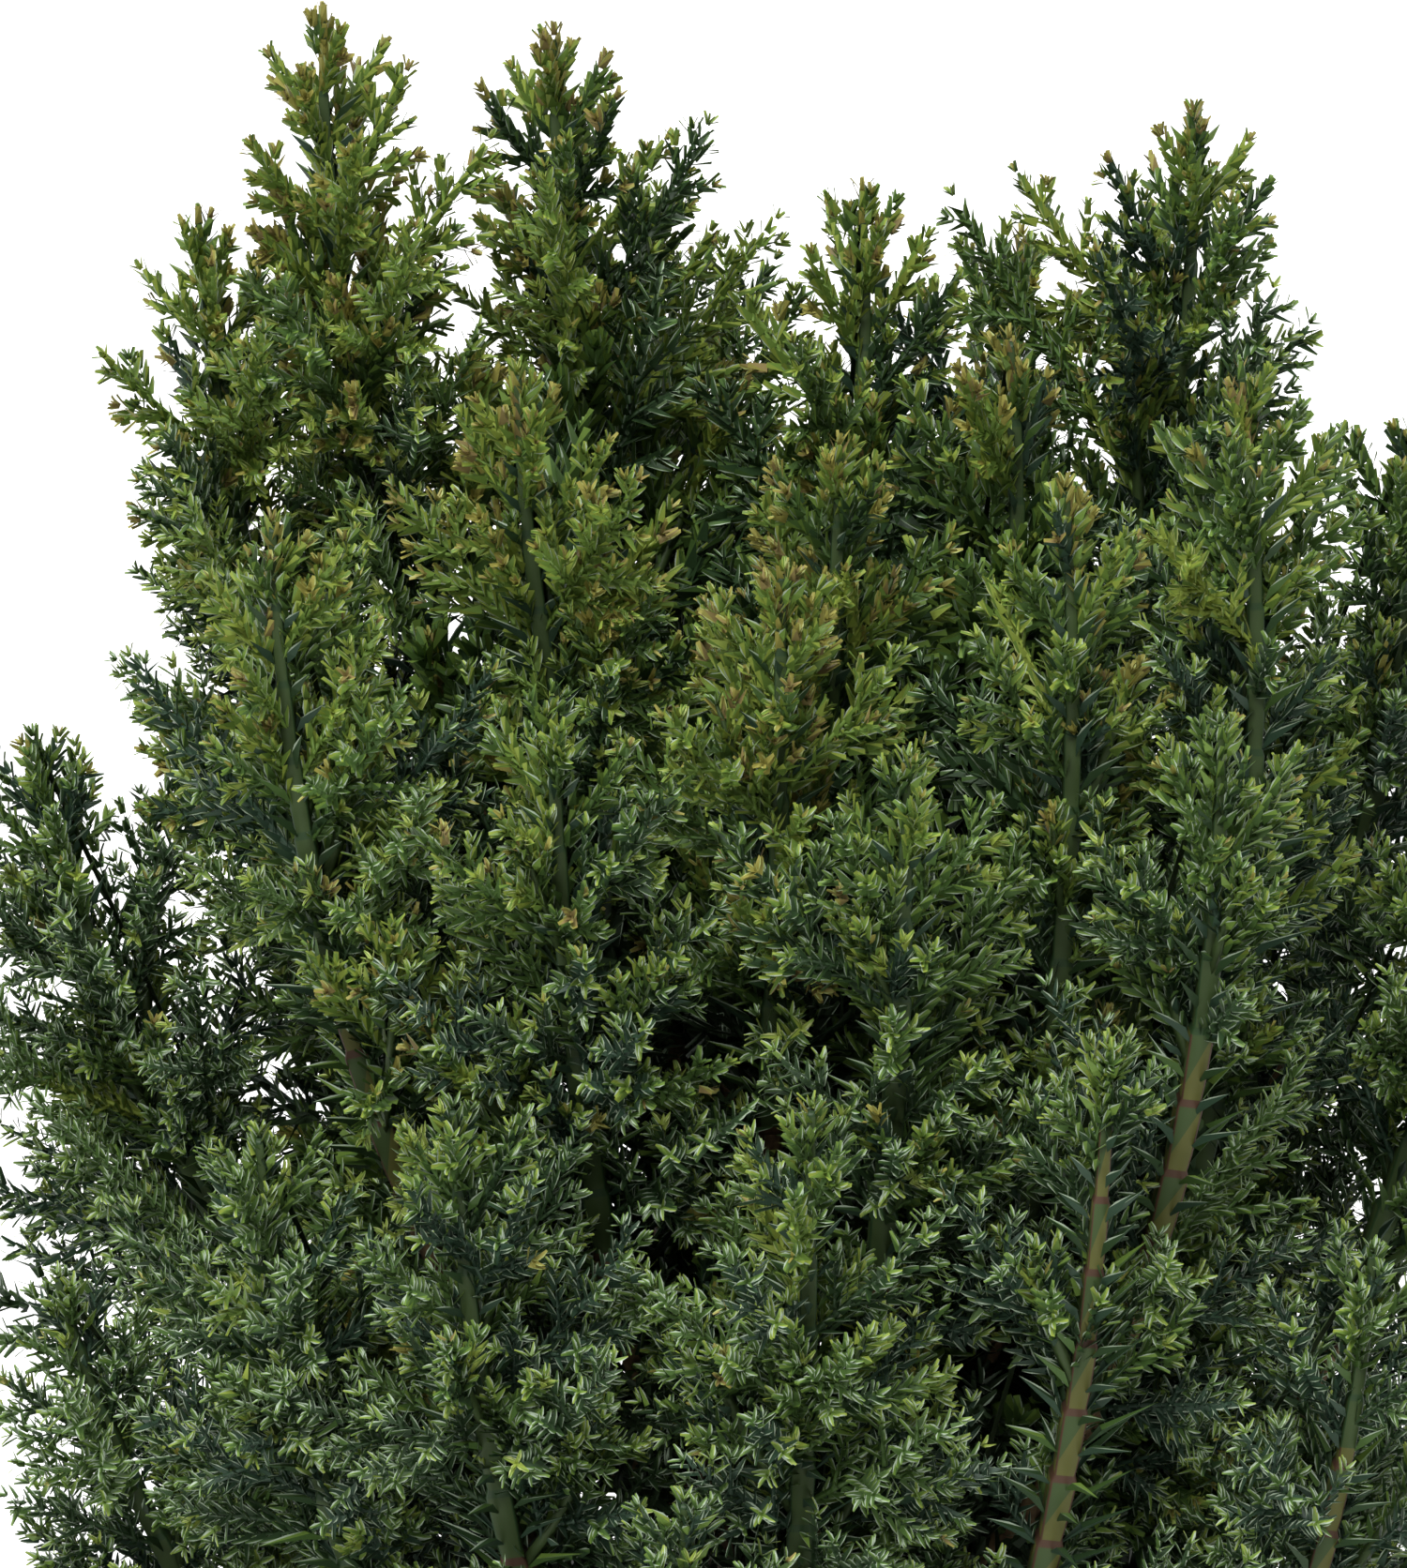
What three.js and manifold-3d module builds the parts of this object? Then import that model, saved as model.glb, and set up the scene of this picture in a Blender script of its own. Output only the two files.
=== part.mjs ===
// Dwarf lawson cypress: a dense upright shrub about 320 mm tall, rooted in the ground.
// Millimetres, +Z up. The origin is the middle of the flat cut under the trunk, at ground level.
// One trunk carries boughs, and each bough carries one plume of foliage. The plumes of the back,
// those of the skirt and some of the front ones grow straight from the trunk on a bare stem of
// their own. Each plume keeps to its own space: a wall halfway to each neighbour, and walls at
// its own reach and height.

import * as THREE from "three";
import { mergeVertices } from "three/addons/utils/BufferGeometryUtils.js";
import Module from "manifold-3d";

// Driving dimensions, in millimetres and degrees
const SEED = 5107;
const GAP = 0.3; // between solids that meet
const GOLDEN_ANGLE = 137.5;

const TRUNK = {
  height: 204,
  topX: 6,
  sway: 5,
  baseRadius: 5.2,
  topRadius: 1.9,
  flare: 3.4, // extra radius of the root flare
  flareHeight: 7,
  flareLobes: 4,
  lobeDepth: 0.35,
  taperPower: 0.8,
  sides: 10,
  steps: 20,
};

const BOUGH = { tipRadius: 1.7, taper: 0.009, sides: 5, steps: 4 };

// A plume: the angle of its tip about the trunk, the reach of the tip from the axis, the tip's
// height, the length of its leafy part, its width, and its lean outwards from upright
const BOUGH_PLUMES = [
  { name: "crown_left", azimuth: 163, reach: 60, top: 318, length: 96, width: 42, lean: 10 },
  { name: "crown_back_left", azimuth: 125, reach: 47, top: 314, length: 96, width: 48, lean: 11 },
  { name: "crown_leader", azimuth: 38, reach: 19, top: 295, length: 90, width: 36, lean: 8, leader: true },
  { name: "crown_right", azimuth: 18, reach: 63, top: 305, length: 98, width: 62, lean: 9 },
  { name: "crown_back_right", azimuth: 56, reach: 70, top: 284, length: 92, width: 46, lean: 14 },
  { name: "crown_back", azimuth: 100, reach: 74, top: 289, length: 96, width: 50, lean: 14 },
  { name: "right_high", azimuth: 0, reach: 88, top: 266, length: 88, width: 44, lean: 9 },
  { name: "right_middle", azimuth: -14, reach: 97, top: 222, length: 80, width: 48, lean: 12 },
  { name: "left_high", azimuth: 166, reach: 77, top: 291, length: 100, width: 50, lean: 13 },
  { name: "left_middle", azimuth: 169, reach: 101, top: 219, length: 88, width: 58, lean: 22 },
  { name: "front_left_inner", azimuth: -137, reach: 41, top: 276, length: 84, width: 38, lean: 13 },
  { name: "front_left", azimuth: -141, reach: 77, top: 260, length: 92, width: 46, lean: 12 },
  { name: "front_right_tall", azimuth: -35, reach: 74, top: 278, length: 114, width: 50, lean: 3 },
  { name: "front_tall", azimuth: -54, reach: 65, top: 265, length: 100, width: 38, lean: 4 },
  { name: "front_upper_left", azimuth: -110, reach: 72, top: 242, length: 78, width: 44, lean: 13 },
  { name: "front_right", azimuth: -52, reach: 91, top: 239, length: 68, width: 44, lean: 8 },
  { name: "front_centre", azimuth: -86, reach: 93, top: 197, length: 78, width: 52, lean: 15 },
  { name: "front_lower_right", azimuth: -64, reach: 96, top: 203, length: 78, width: 46, lean: 12 },
];

// These have no bough: their own bare stem starts on the trunk
const STEM_PLUMES = [
  { name: "left_low", azimuth: -163, reach: 96, top: 156, length: 82, width: 54, lean: 24 },
  { name: "front_inner", azimuth: -74, reach: 39, top: 268, length: 78, width: 34, lean: 12 },
  { name: "front_right_inner", azimuth: -16, reach: 35, top: 278, length: 84, width: 36, lean: 5 },
  { name: "front_upper", azimuth: -87, reach: 62, top: 256, length: 78, width: 38, lean: 14 },
  { name: "front_middle", azimuth: -77, reach: 80, top: 236, length: 70, width: 38, lean: 10 },
  { name: "front_lower_left", azimuth: -113, reach: 93, top: 195, length: 76, width: 44, lean: 16 },
  { name: "front_far_left", azimuth: -133, reach: 90, top: 186, length: 82, width: 48, lean: 16 },
  { name: "front_far_right", azimuth: -42, reach: 103, top: 172, length: 78, width: 56, lean: 14 },
  { name: "front_low", azimuth: -95, reach: 99, top: 150, length: 74, width: 56, lean: 18 },
];

// The back and the skirt are rings of such plumes that share their sizes
const BACK_MIDDLE = { count: 4, from: 26, to: 140, reach: 94, top: 228, length: 88, width: 60, lean: 14 };
const BACK_LOW = { count: 4, from: 4, to: 148, reach: 100, top: 160, length: 86, width: 66, lean: 18 };
const SKIRT = { count: 7, from: -170, to: 139, reach: 95, top: 98, length: 82, width: 76, lean: 38 };
const RING_SCATTER = { azimuth: 5, reach: 3, top: 7 };

// How limbs rise from the trunk to the foot of their plume. On the same side of the trunk they
// leave it one above the other.
const RISE = { low: 1.1, high: 1.7, fullHeight: 232, lowest: 15 };
const LEAVING = { apart: 7, sameSide: 90, step: 0.5 };
const ARRIVAL = 0.45; // share of a limb's length that already runs in the plume's direction

// A feather is a slim core round a stem, with flat-sided shoots that stand out of it in rings and
// lean forward. A plume is one long feather with shorter ones on its lower stem.
const FEATHER = {
  shootAngle: 40,
  coreShare: 0.11, // core radius as a share of the feather's width
  corePower: 1.2, // above 1 the core is slimmer towards its ends
  lastRing: 0.95, // share of the stem where the last shoots stand
  stemTaper: 0.8,
  tipTaper: 0.8, // a shoot's longest reach as a share of what is left of its stem
  scatter: 0.16,
  shortestShoot: 2.5,
};
const LONG_FEATHER = { sides: 6, rings: 11, leafFrom: 0.14, footRadius: 1.5 };
const SHORT_FEATHER = { sides: 4, rings: 5, leafFrom: 0.12, footRadius: 1, shortest: 16 };
const SHORT_FEATHERS = {
  count: 2,
  from: 0.03, // shares of the plume's stem between which they leave it
  to: 0.42,
  angle: 36,
  angleScatter: 5,
  length: 1, // as a share of the plume's width
  lengthScatter: 0.1,
  width: 0.55,
};
const STEM_BOW = 0.05; // sideways bend of a stem as a share of its length
const LIMB_CLEARANCE = 1.4; // from leaves to the bark of a foreign limb
const PROBE_STEP = 2; // between the places where a shoot is tested for foreign limbs
const CORE_CLEARANCE = 1; // from a core to the walls of its plume's space
const WALL_MARGIN = 0.25; // from leaves to the wall of their plume's space
const OUTER_MARGIN = 0.12; // how far a plume's leaves pass its tip's reach, as a share of its width
const TOP_MARGIN = 1; // how far they pass its tip's height
const GROUND_MARGIN = 4; // how far they stay above the ground

const LIMB_SAMPLES = 20; // points along a limb that others keep clear of

const GREENS = ["#3f5d33", "#476a3a", "#395536", "#52733c", "#425f41"];
const BARK = "#6d5037";
const BOUGH_BARK = "#7b6a3c";

const wasm = await Module();
wasm.setup();

// A seeded stream of numbers from 0 to 1
let randomState = SEED;
function random() {
  randomState = (randomState * 16807) % 2147483647;
  return (randomState - 1) / 2147483646;
}

function scatter(amount) {
  return amount * (2 * random() - 1);
}

const radians = THREE.MathUtils.degToRad;

function outward(azimuth) {
  return new THREE.Vector3(Math.cos(radians(azimuth)), Math.sin(radians(azimuth)), 0);
}

// Solids

function solid(geometry) {
  geometry.deleteAttribute("normal");
  geometry.deleteAttribute("uv");
  const merged = mergeVertices(geometry, 1e-4);
  const corners = merged.index.array;
  const triVerts = [];
  for (let i = 0; i < corners.length; i += 3) {
    const [a, b, c] = [corners[i], corners[i + 1], corners[i + 2]];
    if (a !== b && b !== c && c !== a) triVerts.push(a, b, c);
  }
  return new wasm.Manifold(
    new wasm.Mesh({
      numProp: 3,
      vertProperties: merged.attributes.position.array,
      triVerts: new Uint32Array(triVerts),
    }),
  );
}

// The largest body of a joined solid. It is read back from its faces, so that scraps that only
// touch it at a corner come apart from it.
function largestBody(joined) {
  const { vertProperties, triVerts } = joined.getMesh();
  const bodies = new wasm.Manifold(new wasm.Mesh({ numProp: 3, vertProperties, triVerts })).decompose();
  return bodies.reduce((best, body) => (body.volume() > best.volume() ? body : best));
}

function meshOf(name, joined, colour, roughness) {
  const { vertProperties, triVerts } = joined.getMesh();
  const geometry = new THREE.BufferGeometry();
  geometry.setAttribute("position", new THREE.BufferAttribute(vertProperties, 3));
  geometry.setIndex(new THREE.BufferAttribute(triVerts, 1));
  geometry.computeVertexNormals();
  const material = new THREE.MeshStandardMaterial({ color: colour, roughness, metalness: 0 });
  const mesh = new THREE.Mesh(geometry, material);
  mesh.name = name;
  return mesh;
}

// A tapering limb: a cylinder whose rings are moved onto a curve.
// radiusAt takes the share of the way along and the angle round the limb.
function limbSolid(curve, radiusAt, sides, steps) {
  const frames = curve.computeFrenetFrames(steps, false);
  const geometry = new THREE.CylinderGeometry(1, 1, steps, sides, steps);
  const places = geometry.getAttribute("position");
  for (let i = 0; i < places.count; i++) {
    const step = Math.round(places.getY(i) + steps / 2);
    const across = places.getX(i);
    const along = -places.getZ(i);
    const radius = radiusAt(step / steps, Math.atan2(along, across));
    const point = curve.getPointAt(step / steps);
    point.addScaledVector(frames.normals[step], across * radius);
    point.addScaledVector(frames.binormals[step], along * radius);
    places.setXYZ(i, point.x, point.y, point.z);
  }
  return solid(geometry);
}

// The trunk

const trunkCurve = new THREE.CubicBezierCurve3(
  new THREE.Vector3(0, 0, 0),
  new THREE.Vector3(0, 0, TRUNK.height * 0.3),
  new THREE.Vector3(-TRUNK.sway, TRUNK.sway / 2, TRUNK.height * 0.6),
  new THREE.Vector3(TRUNK.topX, 0, TRUNK.height),
);

function trunkRadius(share, angle, grown = 0) {
  const taper = THREE.MathUtils.lerp(TRUNK.baseRadius, TRUNK.topRadius, share ** TRUNK.taperPower);
  const flare = TRUNK.flare * Math.exp((-share * TRUNK.height) / TRUNK.flareHeight);
  return taper + flare * (1 + TRUNK.lobeDepth * Math.cos(TRUNK.flareLobes * angle)) + grown;
}

function trunkSolid(grown = 0) {
  const radiusAt = (share, angle) => trunkRadius(share, angle, grown);
  return limbSolid(trunkCurve, radiusAt, TRUNK.sides, TRUNK.steps);
}

function trunkPoint(height) {
  return trunkCurve.getPointAt(THREE.MathUtils.clamp(height / TRUNK.height, 0, 1));
}

// Where the plumes are

function ringPlumes(name, ring) {
  const step = (ring.to - ring.from) / (ring.count - 1);
  return Array.from({ length: ring.count }, (_, i) => ({
    ...ring,
    name: `${name}_${i + 1}`,
    azimuth: ring.from + i * step + scatter(RING_SCATTER.azimuth),
    reach: ring.reach + scatter(RING_SCATTER.reach),
    top: ring.top + scatter(RING_SCATTER.top),
  }));
}

// The stem of a plume from its foot to its tip
function plumeCurve(plume) {
  const out = outward(plume.azimuth);
  const tip = out.clone().multiplyScalar(plume.reach).setZ(plume.top);
  const lean = radians(plume.lean);
  const foot = tip.clone().addScaledVector(out, -plume.length * Math.sin(lean));
  foot.z -= plume.length * Math.cos(lean);
  if (plume.leader) foot.copy(trunkPoint(TRUNK.height));
  const middle = foot.clone().lerp(tip, 0.5).addScaledVector(out, 2 * STEM_BOW * plume.length);
  return new THREE.QuadraticBezierCurve3(foot, middle, tip);
}

// Where a limb would leave the trunk if it were alone
function wishedStart(plume) {
  const foot = plume.curve.getPoint(0);
  const rise = THREE.MathUtils.lerp(RISE.low, RISE.high, Math.min(1, foot.z / RISE.fullHeight) ** 2);
  return foot.z - rise * Math.hypot(foot.x, foot.y);
}

function angleBetween(a, b) {
  const difference = Math.abs(a.azimuth - b.azimuth) % 360;
  return Math.min(difference, 360 - difference);
}

// Gives each limb its start on the trunk, from the lowest up
function placeStarts(carried) {
  const placed = [];
  for (const plume of [...carried].sort((a, b) => wishedStart(a) - wishedStart(b))) {
    plume.start = Math.max(wishedStart(plume), RISE.lowest);
    const crowds = (other) =>
      angleBetween(plume, other) < LEAVING.sameSide && Math.abs(plume.start - other.start) < LEAVING.apart;
    while (placed.some(crowds)) plume.start += LEAVING.step;
    placed.push(plume);
  }
}

// The limb that carries a plume, from inside the trunk to the plume's foot
function limbCurve(plume) {
  const foot = plume.curve.getPoint(0);
  const root = trunkPoint(plume.start);
  const arrival = plume.curve.getTangent(0).multiplyScalar(ARRIVAL * root.distanceTo(foot));
  return new THREE.QuadraticBezierCurve3(root, foot.clone().sub(arrival), foot);
}

function boughRadius(limb, share) {
  const root = BOUGH.tipRadius + BOUGH.taper * limb.getLength();
  return THREE.MathUtils.lerp(root, BOUGH.tipRadius, share);
}

// The space of a plume: walls that face outwards, each a THREE.Plane

// The middle of the shortest line between two stems, and its direction
function wallBetween(a, b) {
  const [p, q] = [a.curve.getPoint(0), b.curve.getPoint(0)];
  const [u, v] = [a.curve.getPoint(1).sub(p), b.curve.getPoint(1).sub(q)];
  const between = q.clone().sub(p);
  const [uu, vv, uv] = [u.dot(u), v.dot(v), u.dot(v)];
  let s = THREE.MathUtils.clamp((u.dot(between) * vv - v.dot(between) * uv) / (uu * vv - uv * uv), 0, 1);
  const t = THREE.MathUtils.clamp((uv * s - v.dot(between)) / vv, 0, 1);
  s = THREE.MathUtils.clamp((uv * t + u.dot(between)) / uu, 0, 1);
  const near = p.clone().addScaledVector(u, s);
  const far = q.clone().addScaledVector(v, t);
  const normal = far.clone().sub(near).normalize();
  const share = a.width / (a.width + b.width);
  const point = near.clone().lerp(far, share).addScaledVector(normal, -WALL_MARGIN);
  return new THREE.Plane().setFromNormalAndCoplanarPoint(normal, point);
}

function spaceOf(plume, plumes) {
  const walls = plumes.filter((other) => other !== plume).map((other) => wallBetween(plume, other));
  const out = outward(plume.azimuth);
  const reach = plume.reach + OUTER_MARGIN * plume.width;
  walls.push(new THREE.Plane(out, -reach));
  walls.push(new THREE.Plane(new THREE.Vector3(0, 0, 1), -plume.top - TOP_MARGIN));
  walls.push(new THREE.Plane(new THREE.Vector3(0, 0, -1), GROUND_MARGIN));
  return walls;
}

// How far one can go from a point before a wall of the space
function roomAlong(space, point, direction) {
  return space.reduce((room, wall) => {
    const facing = wall.normal.dot(direction);
    const distance = -wall.distanceToPoint(point);
    return facing > 1e-6 ? Math.min(room, distance / facing) : room;
  }, Infinity);
}

// How far one can go before coming close to a foreign limb
function clearOfLimbs(limbPoints, point, direction, longest) {
  const probe = new THREE.Vector3();
  for (let gone = 0; gone < longest; gone += PROBE_STEP) {
    probe.copy(point).addScaledVector(direction, gone);
    const near = limbPoints.some((limb) => limb.point.distanceTo(probe) < limb.radius + LIMB_CLEARANCE);
    if (near) return gone - PROBE_STEP;
  }
  return longest;
}

// The longest that a shoot can be, so that it ends at the walls and before foreign limbs
function roomFor(plume, base, direction, wished) {
  const room = roomAlong(plume.space, base, direction) - WALL_MARGIN;
  return clearOfLimbs(plume.foreign, base, direction, Math.min(wished, room));
}

// Feathers

// A unit vector square to a stem, turned about it from the side that faces outwards
function aside(plume, stem, turn) {
  return outward(plume.azimuth).projectOnPlane(stem).normalize().applyAxisAngle(stem, turn);
}

function tilted(stem, side, angle) {
  return stem.clone().multiplyScalar(Math.cos(angle)).addScaledVector(side, Math.sin(angle));
}

// How thick a feather's core can be before the walls and foreign limbs
function coreRadius(plume, curve, width) {
  const middle = curve.getPoint(0.5);
  const wall = Math.min(...plume.space.map((side) => -side.distanceToPoint(middle)));
  const limb = Math.min(...plume.foreign.map((near) => near.point.distanceTo(middle) - near.radius));
  return Math.max(0, Math.min(FEATHER.coreShare * width, wall - CORE_CLEARANCE, limb - LIMB_CLEARANCE));
}

// A closed skin over rings of points and an apex. Every other point of a ring stands out, so each
// square is split along the diagonal between its two low points.
function skin(rings, apex) {
  const sides = rings[0].length;
  const corner = (ring, side) => ring * sides + (side % sides);
  const apexIndex = rings.length * sides;
  const index = [];
  for (let side = 1; side < sides - 1; side++) index.push(0, corner(0, side + 1), corner(0, side));
  for (let ring = 0; ring < rings.length - 1; ring++) {
    for (let side = 0; side < sides; side++) {
      const [a, b] = [corner(ring, side), corner(ring, side + 1)];
      const [c, d] = [corner(ring + 1, side + 1), corner(ring + 1, side)];
      if ((ring + side) % 2) index.push(a, b, c, a, c, d);
      else index.push(a, b, d, b, c, d);
    }
  }
  const last = rings.length - 1;
  for (let side = 0; side < sides; side++) {
    index.push(corner(last, side), corner(last, side + 1), apexIndex);
  }
  const geometry = new THREE.BufferGeometry().setFromPoints([...rings.flat(), apex]);
  geometry.setIndex(index);
  return solid(geometry);
}

// The rings of a bare stem before its feather starts
function stemRings(plume, curve, shares, radiusAt, sides) {
  return shares.map((share) => {
    const point = curve.getPoint(share);
    const stem = curve.getTangent(share);
    return Array.from({ length: sides }, (_, side) =>
      point.clone().addScaledVector(aside(plume, stem, (2 * Math.PI * side) / sides), radiusAt(share)),
    );
  });
}

function featherSolid(plume, curve, width, shape, lowerRings) {
  const length = curve.getLength();
  const angle = radians(FEATHER.shootAngle);
  const core = coreRadius(plume, curve, width);
  const fullReach = width / 2 / Math.sin(angle);
  const rings = [...lowerRings];
  for (let i = 0; i < shape.rings; i++) {
    const share = THREE.MathUtils.lerp(shape.leafFrom, FEATHER.lastRing, i / (shape.rings - 1));
    const point = curve.getPoint(share);
    const stem = curve.getTangent(share);
    const left = length * (1 - share);
    const stemRadius = shape.footRadius * (1 - FEATHER.stemTaper * share);
    const low = stemRadius + core * Math.sin(Math.PI * share) ** FEATHER.corePower;
    const ring = [];
    for (let side = 0; side < shape.sides; side++) {
      const direction = tilted(stem, aside(plume, stem, (2 * Math.PI * side) / shape.sides), angle);
      const lowReach = low / Math.sin(angle);
      const wished = Math.min(fullReach, FEATHER.tipTaper * left) * (1 + scatter(FEATHER.scatter));
      const standsOut = (rings.length + side) % 2 === 0;
      const reach = standsOut ? roomFor(plume, point, direction, wished) : lowReach;
      const kept = reach > lowReach + FEATHER.shortestShoot ? reach : lowReach;
      ring.push(point.clone().addScaledVector(direction, kept));
    }
    rings.push(ring);
  }
  return skin(rings, curve.getPoint(1));
}

// The stem of a plume from a gap beyond its bough's tip, or from inside the trunk
function plumeFootRings(plume) {
  const { sides, leafFrom, footRadius } = LONG_FEATHER;
  if (!plume.bare) {
    return stemRings(plume, plume.curve, [GAP / plume.length, leafFrom / 2], () => footRadius, sides);
  }
  const shares = Array.from({ length: BOUGH.steps }, (_, i) => i / BOUGH.steps);
  const radiusAt = (share) => boughRadius(plume.limb, share);
  return [
    ...stemRings(plume, plume.limb, shares, radiusAt, sides),
    ...stemRings(plume, plume.curve, [0, leafFrom / 2], () => footRadius, sides),
  ];
}

function shortFeathers(plume) {
  const { count, from, to, angle, length, width } = SHORT_FEATHERS;
  const { sides, footRadius, shortest } = SHORT_FEATHER;
  const firstTurn = scatter(Math.PI);
  const parts = [];
  for (let i = 0; i < count; i++) {
    const share = THREE.MathUtils.lerp(from, to, i / count);
    const base = plume.curve.getPoint(share);
    const stem = plume.curve.getTangent(share);
    const side = aside(plume, stem, firstTurn + radians(GOLDEN_ANGLE) * i);
    const direction = tilted(stem, side, radians(angle + scatter(SHORT_FEATHERS.angleScatter)));
    const wished = plume.width * length * (1 + scatter(SHORT_FEATHERS.lengthScatter));
    const reach = roomFor(plume, base, direction, wished) - STEM_BOW * plume.width;
    if (reach < shortest) continue;
    const tip = base.clone().addScaledVector(direction, reach);
    const middle = base.clone().lerp(tip, 0.5).addScaledVector(side, STEM_BOW * reach);
    const curve = new THREE.QuadraticBezierCurve3(base, middle, tip);
    const foot = stemRings(plume, curve, [0], () => footRadius, sides);
    parts.push(featherSolid(plume, curve, plume.width * width, SHORT_FEATHER, foot));
  }
  return parts;
}

function plumeSolid(plume) {
  const main = featherSolid(plume, plume.curve, plume.width, LONG_FEATHER, plumeFootRings(plume));
  let joined = shortFeathers(plume).reduce((sum, part) => sum.add(part), main);
  for (const limb of plume.near) {
    if (joined.intersect(limb).volume() > 0) joined = joined.subtract(limb);
  }
  return largestBody(joined);
}

// The whole shrub

const stemPlumes = [
  ...STEM_PLUMES,
  ...ringPlumes("back_middle", BACK_MIDDLE),
  ...ringPlumes("back_low", BACK_LOW),
  ...ringPlumes("skirt", SKIRT),
].map((plume) => ({ ...plume, bare: true }));
const plumes = [...BOUGH_PLUMES.map((plume) => ({ ...plume })), ...stemPlumes];
for (const plume of plumes) plume.curve = plumeCurve(plume);
const carried = plumes.filter((plume) => !plume.leader);
placeStarts(carried);
for (const plume of carried) plume.limb = limbCurve(plume);

function samplesOf(curve, radiusAt) {
  return curve.getPoints(LIMB_SAMPLES).map((point, i) => ({ point, radius: radiusAt(i / LIMB_SAMPLES) }));
}

const trunkSamples = samplesOf(trunkCurve, (share) => trunkRadius(share, 0));
const limbSamples = new Map();
for (const plume of plumes.filter((each) => each.limb)) {
  limbSamples.set(plume, samplesOf(plume.limb, (share) => boughRadius(plume.limb, share)));
}
for (const plume of plumes) {
  plume.space = spaceOf(plume, plumes);
  const others = plumes.filter((other) => other !== plume && other.limb);
  plume.foreign = [...trunkSamples, ...others.flatMap((other) => limbSamples.get(other))];
}

const shrub = new THREE.Group();
shrub.name = "dwarf_lawson_cypress";
shrub.add(meshOf("trunk", trunkSolid(), BARK, 0.85));

const trunkClearance = trunkSolid(GAP);
const clearances = new Map();
for (const plume of plumes.filter((each) => each.limb)) {
  const radiusAt = (share) => boughRadius(plume.limb, share);
  const grownRadius = (share) => radiusAt(share) + GAP;
  clearances.set(plume, limbSolid(plume.limb, grownRadius, BOUGH.sides, BOUGH.steps));
  if (plume.bare) continue;
  const bough = limbSolid(plume.limb, radiusAt, BOUGH.sides, BOUGH.steps);
  const trimmed = largestBody(bough.subtract(trunkClearance));
  shrub.add(meshOf(`bough_${plume.name}`, trimmed, BOUGH_BARK, 0.8));
}

plumes.forEach((plume, i) => {
  plume.near = [trunkClearance];
  for (const [other, grown] of clearances) {
    if (other !== plume && !other.bare) plume.near.push(grown);
  }
  const colour = GREENS[i % GREENS.length];
  shrub.add(meshOf(`foliage_${plume.name}`, plumeSolid(plume), colour, 0.7));
});

export default shrub;
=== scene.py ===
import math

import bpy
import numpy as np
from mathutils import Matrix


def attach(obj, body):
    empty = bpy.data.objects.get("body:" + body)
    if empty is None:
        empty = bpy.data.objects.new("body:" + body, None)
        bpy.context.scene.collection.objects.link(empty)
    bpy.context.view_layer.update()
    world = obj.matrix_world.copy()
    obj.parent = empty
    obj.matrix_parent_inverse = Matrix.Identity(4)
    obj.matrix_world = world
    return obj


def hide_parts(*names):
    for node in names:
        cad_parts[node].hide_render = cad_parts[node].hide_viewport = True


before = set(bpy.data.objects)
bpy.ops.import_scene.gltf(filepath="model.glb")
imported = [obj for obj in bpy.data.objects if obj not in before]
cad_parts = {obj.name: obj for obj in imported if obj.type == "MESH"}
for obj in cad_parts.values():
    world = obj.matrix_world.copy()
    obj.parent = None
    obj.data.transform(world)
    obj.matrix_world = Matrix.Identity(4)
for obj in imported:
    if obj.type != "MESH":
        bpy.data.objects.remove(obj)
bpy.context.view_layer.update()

# Dwarf lawson cypress: the dense upright shrub of the photograph, grown on from the limbs of the
# CAD model by the rule of its source and carried to finer twigs and single needles.
# Lengths are in millimetres and angles in degrees until a mesh is made, in metres.

METRES = 0.001
SEED = 5107
UP = np.array([0.0, 0.0, 1.0])

# Driving dimensions of the part's source

TRUNK = {
    "height": 204, "top_x": 6, "sway": 5,
    "base_radius": 5.2, "top_radius": 1.9, "taper_power": 0.8,
    "flare": 3.4, "flare_height": 7, "flare_lobes": 4, "lobe_depth": 0.35,
}
BOUGH = {"tip_radius": 1.7, "taper": 0.009}

# A plume: its name, the angle of its tip about the trunk, the reach of the tip from the axis,
# the tip's height, the length of its leafy part, its width, and its lean outwards
PLUME_SIZES = ("name", "azimuth", "reach", "top", "length", "width", "lean")
LEADER = "crown_leader"
BOUGH_PLUMES = [
    ("crown_left", 163, 60, 318, 96, 42, 10),
    ("crown_back_left", 125, 47, 314, 96, 48, 11),
    ("crown_leader", 38, 19, 295, 90, 36, 8),
    ("crown_right", 18, 63, 305, 98, 62, 9),
    ("crown_back_right", 56, 70, 284, 92, 46, 14),
    ("crown_back", 100, 74, 289, 96, 50, 14),
    ("right_high", 0, 88, 266, 88, 44, 9),
    ("right_middle", -14, 97, 222, 80, 48, 12),
    ("left_high", 166, 77, 291, 100, 50, 13),
    ("left_middle", 169, 101, 219, 88, 58, 22),
    ("front_left_inner", -137, 41, 276, 84, 38, 13),
    ("front_left", -141, 77, 260, 92, 46, 12),
    ("front_right_tall", -35, 74, 278, 114, 50, 3),
    ("front_tall", -54, 65, 265, 100, 38, 4),
    ("front_upper_left", -110, 72, 242, 78, 44, 13),
    ("front_right", -52, 91, 239, 68, 44, 8),
    ("front_centre", -86, 93, 197, 78, 52, 15),
    ("front_lower_right", -64, 96, 203, 78, 46, 12),
]
STEM_PLUMES = [
    ("left_low", -163, 96, 156, 82, 54, 24),
    ("front_inner", -74, 39, 268, 78, 34, 12),
    ("front_right_inner", -16, 35, 278, 84, 36, 5),
    ("front_upper", -87, 62, 256, 78, 38, 14),
    ("front_middle", -77, 80, 236, 70, 38, 10),
    ("front_lower_left", -113, 93, 195, 76, 44, 16),
    ("front_far_left", -133, 90, 186, 82, 48, 16),
    ("front_far_right", -42, 103, 172, 78, 56, 14),
    ("front_low", -95, 99, 150, 74, 56, 18),
]

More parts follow.
